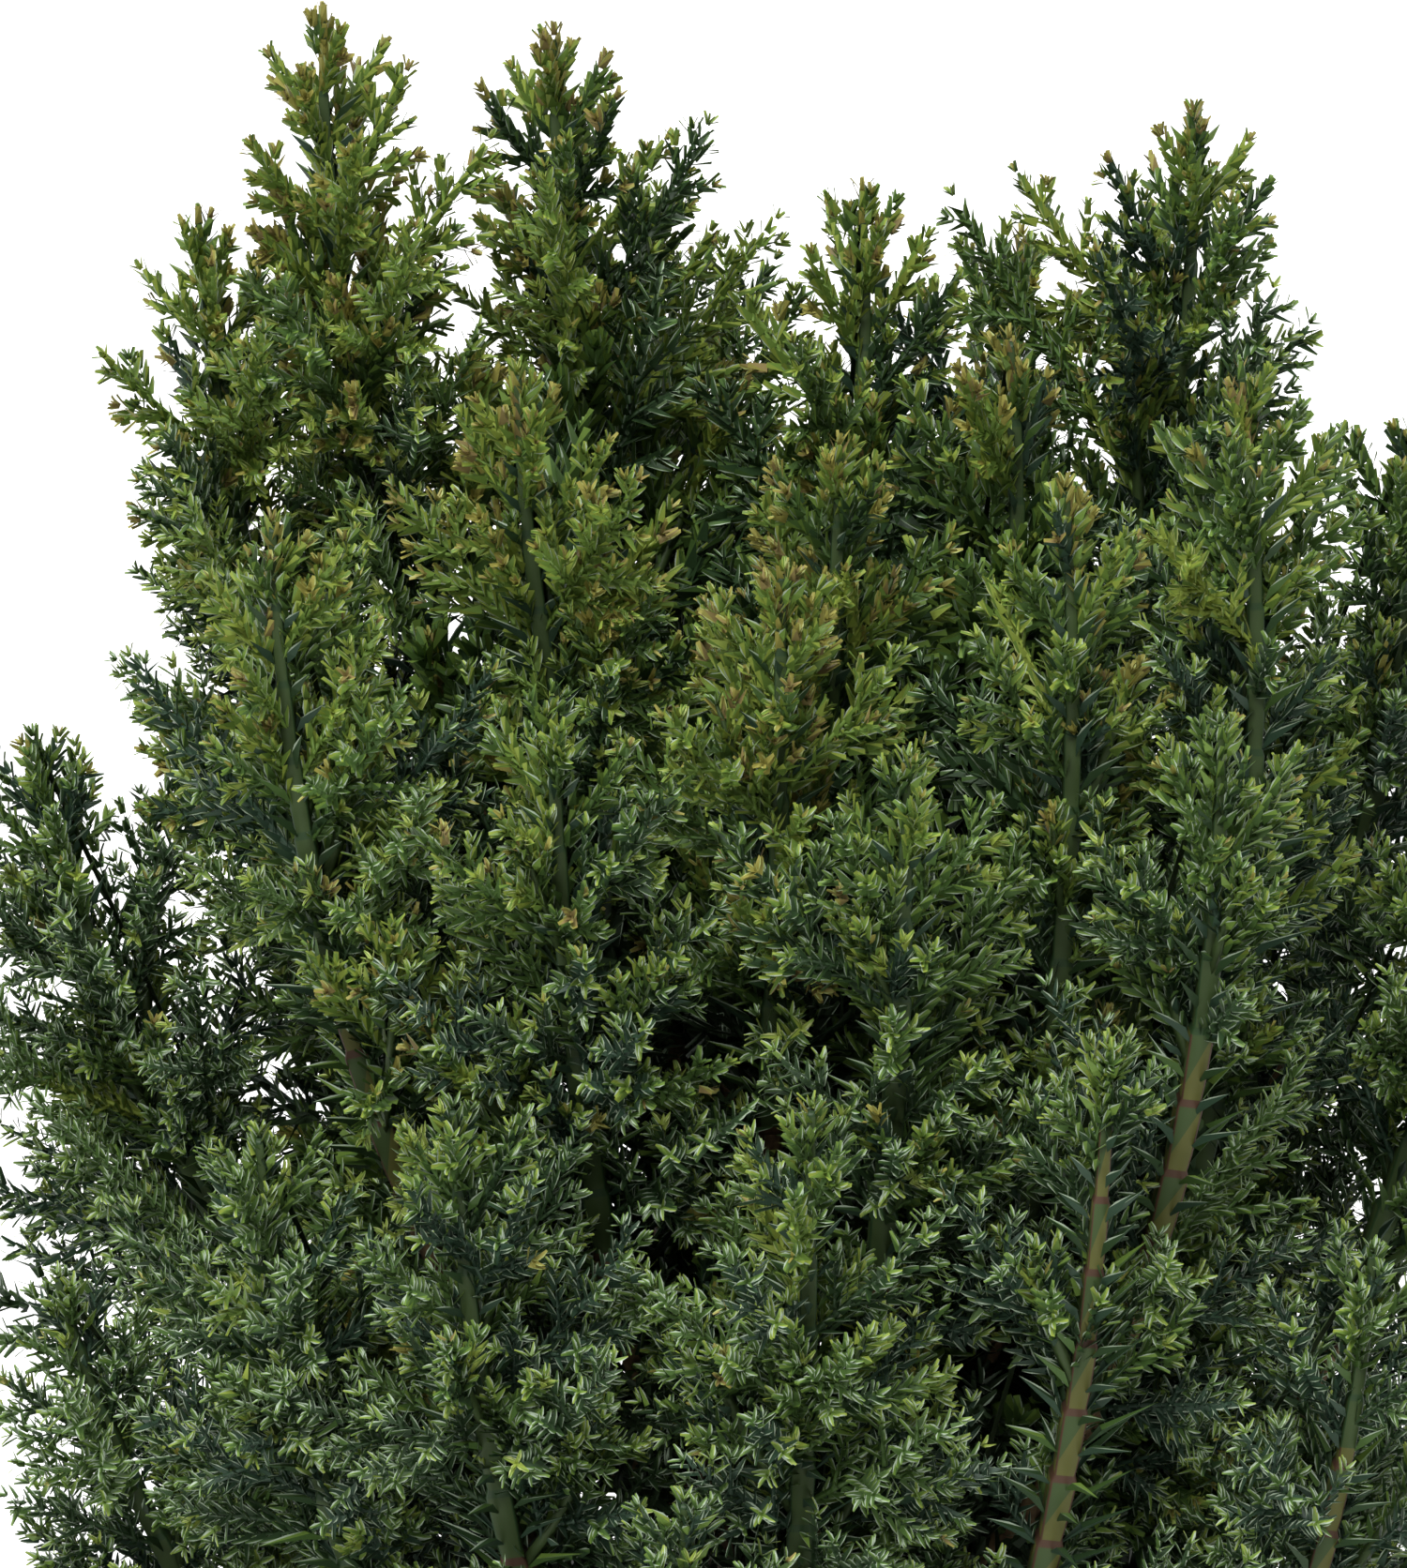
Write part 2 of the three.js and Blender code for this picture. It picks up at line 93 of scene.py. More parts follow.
# Rings of such plumes: name, count, first and last azimuth, then the sizes that they share
RINGS = [
    ("back_middle", 4, 26, 140, 94, 228, 88, 60, 14),
    ("back_low", 4, 4, 148, 100, 160, 86, 66, 18),
    ("skirt", 7, -170, 139, 95, 98, 82, 76, 38),
]
RING_SCATTER = {"azimuth": 5, "reach": 3, "top": 7}
DRAW_FACTOR = 16807
DRAW_MODULUS = 2147483647

# How far limbs rise for each millimetre outwards, low down and at the full height, and how far
# apart two of them leave the same side of the trunk
RISE = {"low": 1.1, "high": 1.7, "full_height": 232, "lowest": 15}
LEAVING = {"apart": 7, "same_side": 90, "step": 0.5}
ARRIVAL = 0.45  # the share of a limb's run over which it turns into the stem of its plume
STEM_BOW = 0.05  # how far a stem bows outwards, as a share of its length

# The space of a plume ends halfway to its neighbours, and by these margins elsewhere
OUTER_MARGIN = 0.12  # a share of the plume's width
TOP_MARGIN = 1
GROUND_MARGIN = 4
WALL_PASS = 3.0  # how far the fine twigs may pass the walls of their plume's space
FOOT_PASS = 8.0  # the same between plumes, about the foot of a high one
FOOT_PART = 20  # how far above the foot that holds
HIGH_FOOT = 110  # the height from which a foot counts as high
FLAT = 1e-6  # a heading that faces a wall by less never meets it

# Finer growth. The plumes behind the trunk and low down have fewer and larger needles.
COARSE = 1.5
COARSE_PLUMES = ("back_", "skirt_")

GOLDEN_ANGLE = 137.5
# The plumes whose main stems are bare on their outer side, up to this share of the stem
BARE_UP_TO = {
    "front_lower_right": 0.8, "front_far_right": 0.65, "front_right": 0.4,
    "front_left": 0.35, "front_far_left": 0.2, "front_lower_left": 0.15,
}
BARE_ASIDE = {"laterals": -0.1, "fronds": 0.2}  # how far outwards a shoot may face there
OUT_OF_PLANE = 3  # every third branchlet stands out of its parent's plane, towards the outside
LIMB_LEAFY_FROM = 0.3  # share of a limb from which leafy twigs stand on it
SIDE_LEADERS = {
    "spacing": 10.5, "from": 0.03, "to": 0.62,
    "angle": 16, "low_angle": 40, "angle_jitter": 4,
    "tip_taper": 0.53, "scatter": (0.85, 1.05), "shortest": 14,
    "bend": 0.12, "faces": {"outwards": 0.6, "aside": 0.4},
}

# Side shoots, in columns for laterals, branchlets and twiglets: where they stand on their parent,
# how far apart, at which angle, and how long. A cap of 1 or less is a share of the plume's width,
# and tip_taper one of what is left of the parent.
SIDE_SHOOTS = {
    "spacing": (3.25, 2.35, 2.4),
    "from": (0.04, 0.15, 0.2),
    "to": (0.96, 0.9, 0.75),
    "angle": (25, 30, 34),
    "low_angle": (47, 47, 44),
    "cap": (0.9, 12.0, 4.5),
    "tip_taper": (0.88, 0.5, 0.45),
    "scatter": (0.16, 0.2, 0.2),
    "bend": (0.07, 0.06, 0.05),
    "shortest": (1.6, 1.4, 1.8),
}
LATERALS, BRANCHLETS, TWIGLETS = (dict(zip(SIDE_SHOOTS, column)) for column in zip(*SIDE_SHOOTS.values()))
SHOOT_JITTER = {"place": 0.3, "turn": 24, "angle": 7}  # the place is a share of the spacing
BENDS_TO = {"ahead": 0.8, "up": 0.5}  # side shoots bend towards their parent's heading and up
OPEN_AT = 42  # how far below its leader's tip a side shoot stands at its full angle

# Inside the crown, needles are larger and sparser, and sprays are painted darker as painted shade. Each
# measure of a spray's shelter begins at the first distance and is full after the second.
SHELTER = {
    "behind": (10, 16), "same_side": (0, 20), "below": (34, 25), "above_foot": (-25, 15), "aside": 1.6
}
SPRAY_MIDDLE = 0.8  # the share of a spray at which its shelter is measured
PAINTED_SHADE_CHANCE = 2.2  # the chance of painted shade, of a spray that is wholly inside
HIGH_SHADE = 215  # above this height the painted shade of the sprays inside the crown is a little lighter
SKYLINE = 35  # how far below the tip of its leader a spray still stands against the sky, and gets green, not painted shade
INSIDE_SCALE = 2.45  # how much larger and sparser the needles inside the crown are
INNER_SCALE = 1.3  # a spray with needles larger than this by those of its plume counts as inside

# Needles: young ones are broad and lie close to their twig, old ones are narrow and stand off it.
# foot is how far from the middle of the twig they start, and golden_end how far from its tip they
# may be golden.
NEEDLE = {"length": 2.25, "width": 1.2, "tilt": 28, "spacing": 1.08, "foot": 0.2, "golden_end": 0}
TIP_NEEDLE = {"length": 2.5, "width": 1.1, "tilt": 28, "spacing": 1.1, "foot": 0.3, "golden_end": 6}
OLD_NEEDLE = {"width": 0.66, "tilt": 50}
NEEDLES_ALONG = (0.06, 0.93)  # the shares of a shoot between which its pairs of needles stand
TIP_CLOSER = 6  # how much closer to their twig needles lie at its tip than at its base
BASE_SIZE = 1.3  # size of the needles at the base of a twig, by those at its tip
NEEDLE_JITTER = {"turn": 0.14, "tilt": 6, "sizes": (0.88, 1.12)}
LOW_AGE = 1.5  # how much older the needles of a plume are for each share that it is lower
CREST_TOP = 320  # the top of the highest plumes
OLD_BELOW = (20, 65)  # how far below its leader's tip a spray begins to be old, and how fast
YOUNG = {"chance": 1.1, "length": 2.8}  # at a shoot's tip, and over how long it falls by one
TIP_LENGTH = 12  # the last part of a leader, clad in needles of its own
TWIST = math.radians(14)  # the foot and the tip of a needle are each turned by this about it
TIP_SHARE = 0.6  # width of a needle's blunt tip as a share of that of its foot
OLD_FINER = 0.2  # how much less that share is in an old needle

# The pairs of needles at the tip of a shoot, from the outer pair to the innermost one
TUFT = {"at": 0.97, "tilts": (36, 23, 10), "sizes": (0.9, 0.8, 0.68), "width": 0.85}

# The pale edge that shows beside a green face: the chances of it, and its shape
WAX = {"inside": 0.25, "low_down": 0.95, "less_higher": 0.7, "more_if_old": 0.6}
WAX_EDGE = 0.2  # how far it shows
WAX_AT = 0.6  # the share of a needle at which it is broadest

# The long needles of the leading stems
STEM_NEEDLE = {
    "length": 11.5, "frond_length": 5.0, "young_length": 3.2, "scatter": (0.75, 1.1),
    "width": 1.1, "depth": 0.9, "curve": 0.3, "widest_at": 0.4,
    "spacing": 4.6, "from": 0.02, "to": 0.97, "foot": 0.5, "main_foot": 1.1,
    "tilt": 36, "young_tilt": 24, "tilt_jitter": 8, "turn_jitter": 0.3,
    "young_end": 62, "bright_from": 0.8,
}


# Vectors and curves

def unit(v):
    return v / np.linalg.norm(v, axis=-1, keepdims=True)


def across(v, axis):
    """The part of v square to axis."""
    return v - (v * axis).sum(-1, keepdims=True) * axis


def outward(azimuth):
    a = math.radians(azimuth)
    return np.array([math.cos(a), math.sin(a), 0.0])


def ramp(value, start, run):
    """Rises from 0 at start to 1 at the end of the run."""
    return np.clip((value - start) / run, 0, 1)


def fade(value, first, run):
    """Falls from first by one for each run of the value, kept from 0 to 1."""
    return np.clip(first - value / run, 0, 1)


def jitter(rng, reach, count):
    return rng.uniform(-reach, reach, count)


CURVE_SHARES = np.linspace(0, 1, 201)


def bezier(points, share):
    share = np.atleast_1d(share)[:, None]
    row = [np.asarray(p, float) for p in points]
    while len(row) > 1:
        row = [a + (b - a) * share for a, b in zip(row, row[1:])]
    return row[0]


def curve_steps(points):
    return np.linalg.norm(np.diff(bezier(points, CURVE_SHARES), axis=0), axis=1)


# The trunk and the limbs, by the source's rule

TRUNK_CURVE = [
    (0, 0, 0),
    (0, 0, 0.3 * TRUNK["height"]),
    (-TRUNK["sway"], TRUNK["sway"] / 2, 0.6 * TRUNK["height"]),
    (TRUNK["top_x"], 0, TRUNK["height"]),
]


def trunk_point(height):
    run = np.concatenate([[0], np.cumsum(curve_steps(TRUNK_CURVE))])
    wanted = np.clip(height / TRUNK["height"], 0, 1) * run[-1]
    return bezier(TRUNK_CURVE, np.interp(wanted, run, CURVE_SHARES))[0]


def trunk_radius(share, angle):
    base = TRUNK["base_radius"]
    taper = base + (TRUNK["top_radius"] - base) * share ** TRUNK["taper_power"]
    flare = TRUNK["flare"] * np.exp(-share * TRUNK["height"] / TRUNK["flare_height"])
    return taper + flare * (1 + TRUNK["lobe_depth"] * np.cos(TRUNK["flare_lobes"] * angle))


def source_scatter():
    """The source's seeded stream of numbers, from which it draws where the ring plumes stand."""
    state = SEED
    while True:
        state = state * DRAW_FACTOR % DRAW_MODULUS
        yield 2 * (state - 1) / (DRAW_MODULUS - 1) - 1


def ring_plumes():
    draws = source_scatter()
    rows = []
    for name, count, first, last, reach, top, *sizes in RINGS:
        for i in range(count):
            azimuth = first + i * (last - first) / (count - 1) + RING_SCATTER["azimuth"] * next(draws)
            own_reach = reach + RING_SCATTER["reach"] * next(draws)
            own_top = top + RING_SCATTER["top"] * next(draws)
            rows.append((f"{name}_{i + 1}", azimuth, own_reach, own_top, *sizes))
    return rows


def plume_curve(plume):
    out = plume["out"]
    tip = out * plume["reach"] + UP * plume["top"]
    lean = math.radians(plume["lean"])
    foot = tip - plume["length"] * (math.sin(lean) * out + math.cos(lean) * UP)
    if plume["name"] == LEADER:
        foot = trunk_point(TRUNK["height"])
    return [foot, (foot + tip) / 2 + 2 * STEM_BOW * plume["length"] * out, tip]


def wished_start(plume):
    foot = plume["curve"][0]
    part = min(1, foot[2] / RISE["full_height"]) ** 2
    return foot[2] - (RISE["low"] + (RISE["high"] - RISE["low"]) * part) * math.hypot(foot[0], foot[1])


def crowds(a, b):
    between = abs(a["azimuth"] - b["azimuth"]) % 360
    near = abs(a["start"] - b["start"]) < LEAVING["apart"]
    return near and min(between, 360 - between) < LEAVING["same_side"]


def place_starts(carried):
    placed = []
    for plume in sorted(carried, key=wished_start):
        plume["start"] = max(wished_start(plume), RISE["lowest"])
        while any(crowds(plume, other) for other in placed):
            plume["start"] += LEAVING["step"]
        placed.append(plume)


def limb_curve(plume):
    foot, middle, _ = plume["curve"]
    root = trunk_point(plume["start"])
    arrival = ARRIVAL * np.linalg.norm(foot - root) * unit(middle - foot)
    return [root, foot - arrival, foot]


def wall_between(a, b):
    """The plane halfway between two stems, by their widths, as a normal and an offset."""
    p, q = a["curve"][0], b["curve"][0]
    u, v = a["curve"][-1] - p, b["curve"][-1] - q
    between = q - p
    uu, vv, uv = u @ u, v @ v, u @ v
    s = np.clip((u @ between * vv - v @ between * uv) / (uu * vv - uv * uv), 0, 1)
    t = np.clip((uv * s - v @ between) / vv, 0, 1)
    s = np.clip((uv * t + u @ between) / uu, 0, 1)
    near, far = p + s * u, q + t * v
    normal = unit(far - near)
    point = near + (far - near) * a["width"] / (a["width"] + b["width"])
    return normal, -normal @ point


OWN_WALLS = 3  # the last walls of a space: outside, above and at the ground


def space_of(plume, plumes):
    walls = [wall_between(plume, other) for other in plumes if other is not plume]
    walls.append((plume["out"], -plume["reach"] - OUTER_MARGIN * plume["width"]))
    walls.append((UP, -plume["top"] - TOP_MARGIN))
    walls.append((-UP, GROUND_MARGIN + WALL_PASS))
    normals, offsets = zip(*walls)
    return np.array(normals), np.array(offsets)


def room_along(plume, points, headings):
    """How far each heading runs from its point before it passes a wall by more than it may."""
    normals, offsets = plume["space"]
    foot = plume["curve"][0][2]
    facing = headings @ normals.T
    passes = np.full(facing.shape, WALL_PASS)
    if foot > HIGH_FOOT:
        passes[points[:, 2] < foot + FOOT_PART, :-OWN_WALLS] = FOOT_PASS
    distance = passes - (points @ normals.T + offsets)
    return np.where(facing > FLAT, distance / np.maximum(facing, FLAT), np.inf).min(axis=1)


def make_plumes():
    rows = BOUGH_PLUMES + STEM_PLUMES + ring_plumes()
    plumes = [dict(zip(PLUME_SIZES, row)) for row in rows]
    for plume in plumes:
        plume["out"] = outward(plume["azimuth"])
        plume["curve"] = plume_curve(plume)
        plume["scale"] = COARSE if plume["name"].startswith(COARSE_PLUMES) else 1.0
    carried = [plume for plume in plumes if plume["name"] != LEADER]
    place_starts(carried)
    for plume in carried:
        plume["limb"] = limb_curve(plume)
    for plume in plumes:
        plume["space"] = space_of(plume, plumes)
    return plumes


# Tables of shoots or needles, with one column for each field

def joined(tables):
    return {field: np.concatenate([table[field] for table in tables]) for field in tables[0]}


def chosen(table, keep):
    return {field: column[keep] for field, column in table.items()}


# Shoots: each runs from its base along its heading and bends towards its bend vector. Its side
# vector lies in the plane in which its own side shoots spread.

def make_shoots(base, heading, side, bend, length, tone=0, scale=1.0, crest=0.0, beyond=0.0):
    """beyond is the length of a stem that goes on from the shoot's end, and crest how far below
    the tip of its leader a shoot stands."""
    count = len(length)
    return {
        "base": base,
        "heading": heading,
        "side": unit(across(side, heading)),
        "bend": bend,
        "length": length,
        "tone": np.full(count, tone),
        "scale": np.full(count, scale),
        "crest": np.full(count, crest),
        "beyond": np.full(count, beyond, float),
    }


def shoot_point(shoots, which, share):
    share = share[:, None]
    ahead = shoots["heading"][which] + shoots["bend"][which] * share
    return shoots["base"][which] + shoots["length"][which][:, None] * share * ahead


def stations(shoots, spacing, first, last):
    """Evenly spaced places along shoots: the index of each one's shoot, its number and its share."""
    lengths = shoots["length"]
    counts = np.maximum(0, ((last - first) * lengths / (spacing * shoots["scale"])).astype(int))
    which = np.repeat(np.arange(len(counts)), counts)
    number = np.arange(len(which)) - np.repeat(np.cumsum(counts) - counts, counts)
    return which, number, first + (last - first) * (number + 0.5) / counts[which]


def frame_at(shoots, which, share):
    """The point, the heading and two directions square to it."""
    ahead = unit(shoots["heading"][which] + 2 * share[:, None] * shoots["bend"][which])
    side = unit(across(shoots["side"][which], ahead))
    return shoot_point(shoots, which, share), ahead, side, np.cross(ahead, side)


def turned(side, square, turn):
    return np.cos(turn)[:, None] * side + np.sin(turn)[:, None] * square


def tilted(ahead, aside, angle):
    return np.cos(angle)[:, None] * ahead + np.sin(angle)[:, None] * aside


def bare_up_to(plume):
    return BARE_UP_TO.get(plume["name"], 0)


def side_shoots(parents, rule, plume, rng, axes=0):
    """Side shoots, alternate in the plane of their parent, with some that stand out of it. Where
    axes is given the parents are leaders, with shoots all round, and as many of them as axes are
    main stems, which are bare on the outer side of their lower part."""
    which, number, share = stations(parents, rule["spacing"], rule["from"], rule["to"])
    count = len(which)
    moved = jitter(rng, SHOOT_JITTER["place"], count) * rule["spacing"]
    share = share + moved / parents["length"][which]
    base, ahead, side, square = frame_at(parents, which, share)
    out = plume["out"]
    outer_side = np.where(square @ out > 0, np.pi / 2, -np.pi / 2)
    stands_out = number % OUT_OF_PLANE == OUT_OF_PLANE - 1
    turn = np.where(stands_out, outer_side, np.pi * (number % 2))
    if axes:
        turn = np.radians(GOLDEN_ANGLE) * number
    aside = turned(side, square, turn + np.radians(jitter(rng, SHOOT_JITTER["turn"], count)))
    scale = parents["scale"][which]
    left = parents["length"][which] * (1 - share) + parents["beyond"][which]
    crest = left if axes else parents["crest"][which]
    angle = rule["angle"] + (rule["low_angle"] - rule["angle"]) * ramp(crest, 0, OPEN_AT)
    heading = tilted(ahead, aside, np.radians(angle + jitter(rng, SHOOT_JITTER["angle"], count)))
    cap = rule["cap"] if rule["cap"] > 1 else rule["cap"] * plume["width"]
    length = np.minimum(cap, rule["tip_taper"] * left) * (1 + rule["scatter"] * jitter(rng, 1, count))
    length = np.minimum(length, room_along(plume, base, heading))
    bare = (which < axes) & (share < bare_up_to(plume)) & (aside @ out > BARE_ASIDE["laterals"])
    keep = (length > rule["shortest"] * scale) & ~bare
    bend = rule["bend"] * across(ahead * BENDS_TO["ahead"] + UP * BENDS_TO["up"], heading)
    tone = parents["tone"][which]
    return chosen(make_shoots(base, heading, ahead, bend, length, tone, scale, crest), keep)


def curve_shoot(curve, plume, beyond=0.0):
    """A curve of three points as a shoot."""
    foot, middle, tip = curve
    chord = tip - foot
    length = np.linalg.norm(chord)
    heading = (middle - foot) * 2 / length
    bend = chord / length - heading
    tangential = np.cross(UP, plume["out"])
    columns = (foot[None], heading[None], tangential[None], bend[None], np.array([length]))
    return make_shoots(*columns, scale=plume["scale"], beyond=beyond)


def limb_shoot(plume):
    """The outer part of a limb, where it is already leafy."""
    _, middle, foot = plume["limb"]
    start = bezier(plume["limb"], LIMB_LEAFY_FROM)[0]
    return curve_shoot([start, middle + (foot - middle) * LIMB_LEAFY_FROM, foot], plume, plume["length"])


def side_leaders(stem, plume, rng):
    """Upright fronds that leave the lower stem, turned by the golden angle from one to the next."""
    rule = SIDE_LEADERS
    which, number, share = stations(stem, rule["spacing"], rule["from"], rule["to"])
    count = len(which)
    base, ahead, side, square = frame_at(stem, which, share)
    turn = np.radians(GOLDEN_ANGLE * number) + rng.uniform(-np.pi, np.pi)
    aside = turned(side, square, turn)
    left = stem["length"][which] * (1 - share) + stem["beyond"][which]
    angle = rule["angle"] + (rule["low_angle"] - rule["angle"]) * ramp(left, 0, plume["length"])
    heading = tilted(ahead, aside, np.radians(angle + jitter(rng, rule["angle_jitter"], count)))
    length = np.minimum(plume["width"], rule["tip_taper"] * left) * rng.uniform(*rule["scatter"], count)
    length = np.minimum(length, room_along(plume, base, heading))
    out = plume["out"]
    bare = (share < bare_up_to(plume)) & (aside @ out > BARE_ASIDE["fronds"])
    keep = (length > rule["shortest"]) & ~bare
    bend = rule["bend"] * across(ahead + UP, heading)
    facing = np.cross(UP, rule["faces"]["outwards"] * out + rule["faces"]["aside"] * aside)
    return chosen(make_shoots(base, heading, facing, bend, length, scale=plume["scale"]), keep)


def tip_part(shoots, length, tone):
    """The last stretch of each shoot, as a shoot of its own."""
    share = np.clip(1 - length / shoots["length"], 0, 1)
    which = np.arange(len(share))
    base = shoot_point(shoots, which, share)
    end = shoot_point(shoots, which, np.ones(len(share)))
    run = np.linalg.norm(end - base, axis=1)
    straight = np.zeros_like(base)
    return make_shoots(base, unit(end - base), shoots["side"], straight, run, tone, shoots["scale"])


# Colours

NEEDLE_COLOURS = {
    # the first green is painted shade, dealt to the sprays inside the crown
    "deep_painted_shade": (0.013, 0.025, 0.009),
    # this dark green is the painted shade of sprays high inside the crown, and is also dealt to low sprays,
    # long needles and stem seams
    "shade": (0.019, 0.041, 0.014),
    "green": (0.045, 0.088, 0.020),
    "bright": (0.100, 0.165, 0.029),
    "bluish": (0.023, 0.047, 0.027),
    "fresh": (0.190, 0.245, 0.040),
    "tip": (0.225, 0.208, 0.048),
    "bronze": (0.188, 0.146, 0.055),
    "glaucous": (0.275, 0.340, 0.250),
    "pale": (0.300, 0.340, 0.120),
}
STEM_COLOURS = {
    "green_stem": (0.031, 0.052, 0.015),
    "olive_stem": (0.070, 0.072, 0.017),
    "brown_stem": (0.052, 0.027, 0.016),
}
INDEX = {name: i for i, name in enumerate([*NEEDLE_COLOURS, *STEM_COLOURS])}

# The green of the second face of a needle, for each green of the first in the order of the colours.
# It is painted light and shade: mostly a lighter green, so that the two faces read as a lit side and a shaded
# one.
PAINTED_LIGHT_SIDE_NAMES = ("deep_painted_shade", "green", "bright", "fresh", "shade", "bright", "tip", "tip")
PAINTED_LIGHT_SIDE = np.array([INDEX[name] for name in PAINTED_LIGHT_SIDE_NAMES])

# How often each green is dealt out, for the lowest plumes and the highest, and the power of the
# height by which one turns into the other
HIGH_SPRAYS = {"green": (1.8, 1.8, 1), "bright": (0, 12, 6), "fresh": (0, 3, 8)}
LOW_SPRAYS = {"green": (0, 5, 3), "shade": (2.5, 2.5, 1), "bluish": (5, 0.5, 1)}
HIGH_TIPS = {"bright": (4, 0, 1), "fresh": (1.5, 1.5, 1), "tip": (0, 3, 4), "bronze": (-5.5, 3.5, 1)}
LOW_TIPS = {"bright": (0, 3, 3), "fresh": (0, 3, 8), "green": (2.8, 1, 1)}
LONG_NEEDLES = {"green": (1, 1, 1), "bluish": (3, 3, 1), "shade": (2, 2, 1)}
GOLDEN_NEEDLES = {"tip": (3, 3, 1), "bronze": (2, 2, 1)}

# How the high sprays and tips thin out below the tips of the leaders
HIGH_SPRAYS_END = {"first": 1.15, "run": (10, 95, 2), "share": (0.2, 1, 2)}
HIGH_TIPS_END = {"first": 1.5, "run": 32, "power": 5}

# Golden needles: the inner pairs of the highest tufts, and the last needles of the leaders
GOLDEN = {"chance": 0.9, "power": 8, "first": 1.4, "run": 45, "pairs": 2}

# Plumes greener than others of their height
VIVID = {
    "left_low": 0.15, "front_upper": 0.12, "front_left_inner": 0.1, "front_inner": 0.1,
    "front_right_inner": 0.08, "front_centre": 0.06, "front_left": 0.06,
    "front_upper_left": -0.04, "front_middle": -0.05, "front_right": -0.1,
    "crown_right": -0.14, "front_right_tall": -0.15, "right_high": -0.2,
}


def vigour(plume):
    """How bright the green of a plume is, from 0 to 1."""
    return min(1, plume["top"] / CREST_TOP + VIVID.get(plume["name"], 0))


def by_height(row, height):
    low, high, power = row
    return max(0, low + (high - low) * height**power)


def deal(rng, count, table, height):
    """Tones drawn from a table of greens, by its chances at a height from 0 to 1."""
    chances = np.array([by_height(row, height) for row in table.values()], float)
    tones = np.array([INDEX[name] for name in table])
    return tones[rng.choice(len(table), count, p=chances / chances.sum())]


def is_inner(shoots, plume):
    return shoots["scale"] >= INNER_SCALE * plume["scale"]


def body_tones(shoots, plume, rng):
    """The green of each spray: bright near the tips of the leaders, bluish lower down."""
    count = len(shoots["length"])
    height = vigour(plume)
    high = deal(rng, count, HIGH_SPRAYS, height)
    low = deal(rng, count, LOW_SPRAYS, height)
    end = HIGH_SPRAYS_END
    near_tip = end["first"] - shoots["crest"] / by_height(end["run"], height)
    return np.where(rng.uniform(0, 1, count) < near_tip * by_height(end["share"], height), high, low)


def tip_tones(shoots, plume, rng):
    """The colour of the youngest needles of each shoot: bronze near the highest tips."""
    count = len(shoots["length"])
    height = vigour(plume)
    low = deal(rng, count, LOW_TIPS, height)
    high = deal(rng, count, HIGH_TIPS, height)
    end = HIGH_TIPS_END
    near_tip = fade(shoots["crest"], end["first"], end["run"]) * height ** end["power"]
    tones = np.where(rng.uniform(0, 1, count) < near_tip, high, low)
    # sprays in painted shade, and inner sprays, keep their own green at their tips
    own = (shoots["tone"] == INDEX["deep_painted_shade"]) | is_inner(shoots, plume)
    return np.where(own, shoots["tone"], tones)


def golden_needles(shoots, which, plume, rng):
    """Which of the needles on shoots may be golden."""
    highest = max(vigour(plume), plume["top"] / CREST_TOP) ** GOLDEN["power"]
    chance = GOLDEN["chance"] * highest * fade(shoots["crest"][which], GOLDEN["first"], GOLDEN["run"])
    return (rng.uniform(0, 1, len(which)) < chance) & ~is_inner(shoots, plume)[which]


def pale_side(tones):
    """The wax of young needles, which are those from fresh on, is yellower."""
    return np.where(tones >= INDEX["fresh"], INDEX["pale"], INDEX["glaucous"])


def shelter(points, plumes):
    """How far inside the crown points are, 0 to 1, for painted shade: behind the stem of a plume and below
    its tip.
    """
    deepest = np.zeros(len(points))
    for plume in plumes:
        out = plume["out"]
        foot, tip = plume["curve"][0], plume["curve"][-1]
        rise = ramp(points[:, 2], foot[2], tip[2] - foot[2])
        stem = foot + rise[:, None] * (tip - foot)
        behind = ramp((stem - points) @ out, *SHELTER["behind"])
        same_side = ramp(points @ out, *SHELTER["same_side"])
        below = ramp(tip[2] - points[:, 2], *SHELTER["below"])
        above_foot = ramp(points[:, 2] - foot[2], *SHELTER["above_foot"])
        aside = fade(np.abs((points - stem) @ np.cross(UP, out)), SHELTER["aside"], plume["width"] / 2)
        deepest = np.maximum(deepest, behind * same_side * below * above_foot * aside)
    return deepest


def set_sprays(shoots, plume, plumes, rng):
    """Deals a green to each spray. Those inside the crown are painted darker as painted shade, and their
    needles larger.
    """
    count = len(shoots["length"])
    points = shoot_point(shoots, np.arange(count), np.full(count, SPRAY_MIDDLE))
    inside = shelter(points, plumes)
    # painted shade: the further inside the crown a spray is, the likelier it is painted dark
    dark = rng.uniform(0, 1, count) < PAINTED_SHADE_CHANCE * inside
    # the painted shade is a little lighter high up, and green near the tips of the leaders
    painted_shade_tone = np.where(points[:, 2] > HIGH_SHADE, INDEX["shade"], INDEX["deep_painted_shade"])
    painted_shade_tone = np.where(shoots["crest"] < SKYLINE, INDEX["green"], painted_shade_tone)
    shoots["tone"] = np.where(dark, painted_shade_tone, body_tones(shoots, plume, rng))
    shoots["scale"] = shoots["scale"] * (1 + (INSIDE_SCALE - 1) * inside)


# Needles. Their upper vector is square to their upper side, and their age goes from 0 to 1.

def old_share(shoots, plume):
    """0 for the sprays near the tip of their leader, whose needles are broad, to 1 far below it
    or low down on the plant."""
    lower = 1 - plume["top"] / CREST_TOP
    return np.minimum(ramp(shoots["crest"], *OLD_BELOW) + LOW_AGE * lower, 1)


def pairs_along(shoots, rule):
    """The places of the pairs of needles along shoots, and what is their own there."""
    which, number, share = stations(shoots, rule["spacing"], *NEEDLES_ALONG)
    left = shoots["length"][which] * (1 - share)
    return {
        "place": (which, number, share),
        "tilt": rule["tilt"] - TIP_CLOSER * share,
        "size": BASE_SIZE + (1 - BASE_SIZE) * share,
        "width": 1,
        "foot": rule["foot"],
        "young": YOUNG["chance"] - left / YOUNG["length"],
        "newest": left < rule["golden_end"],
    }


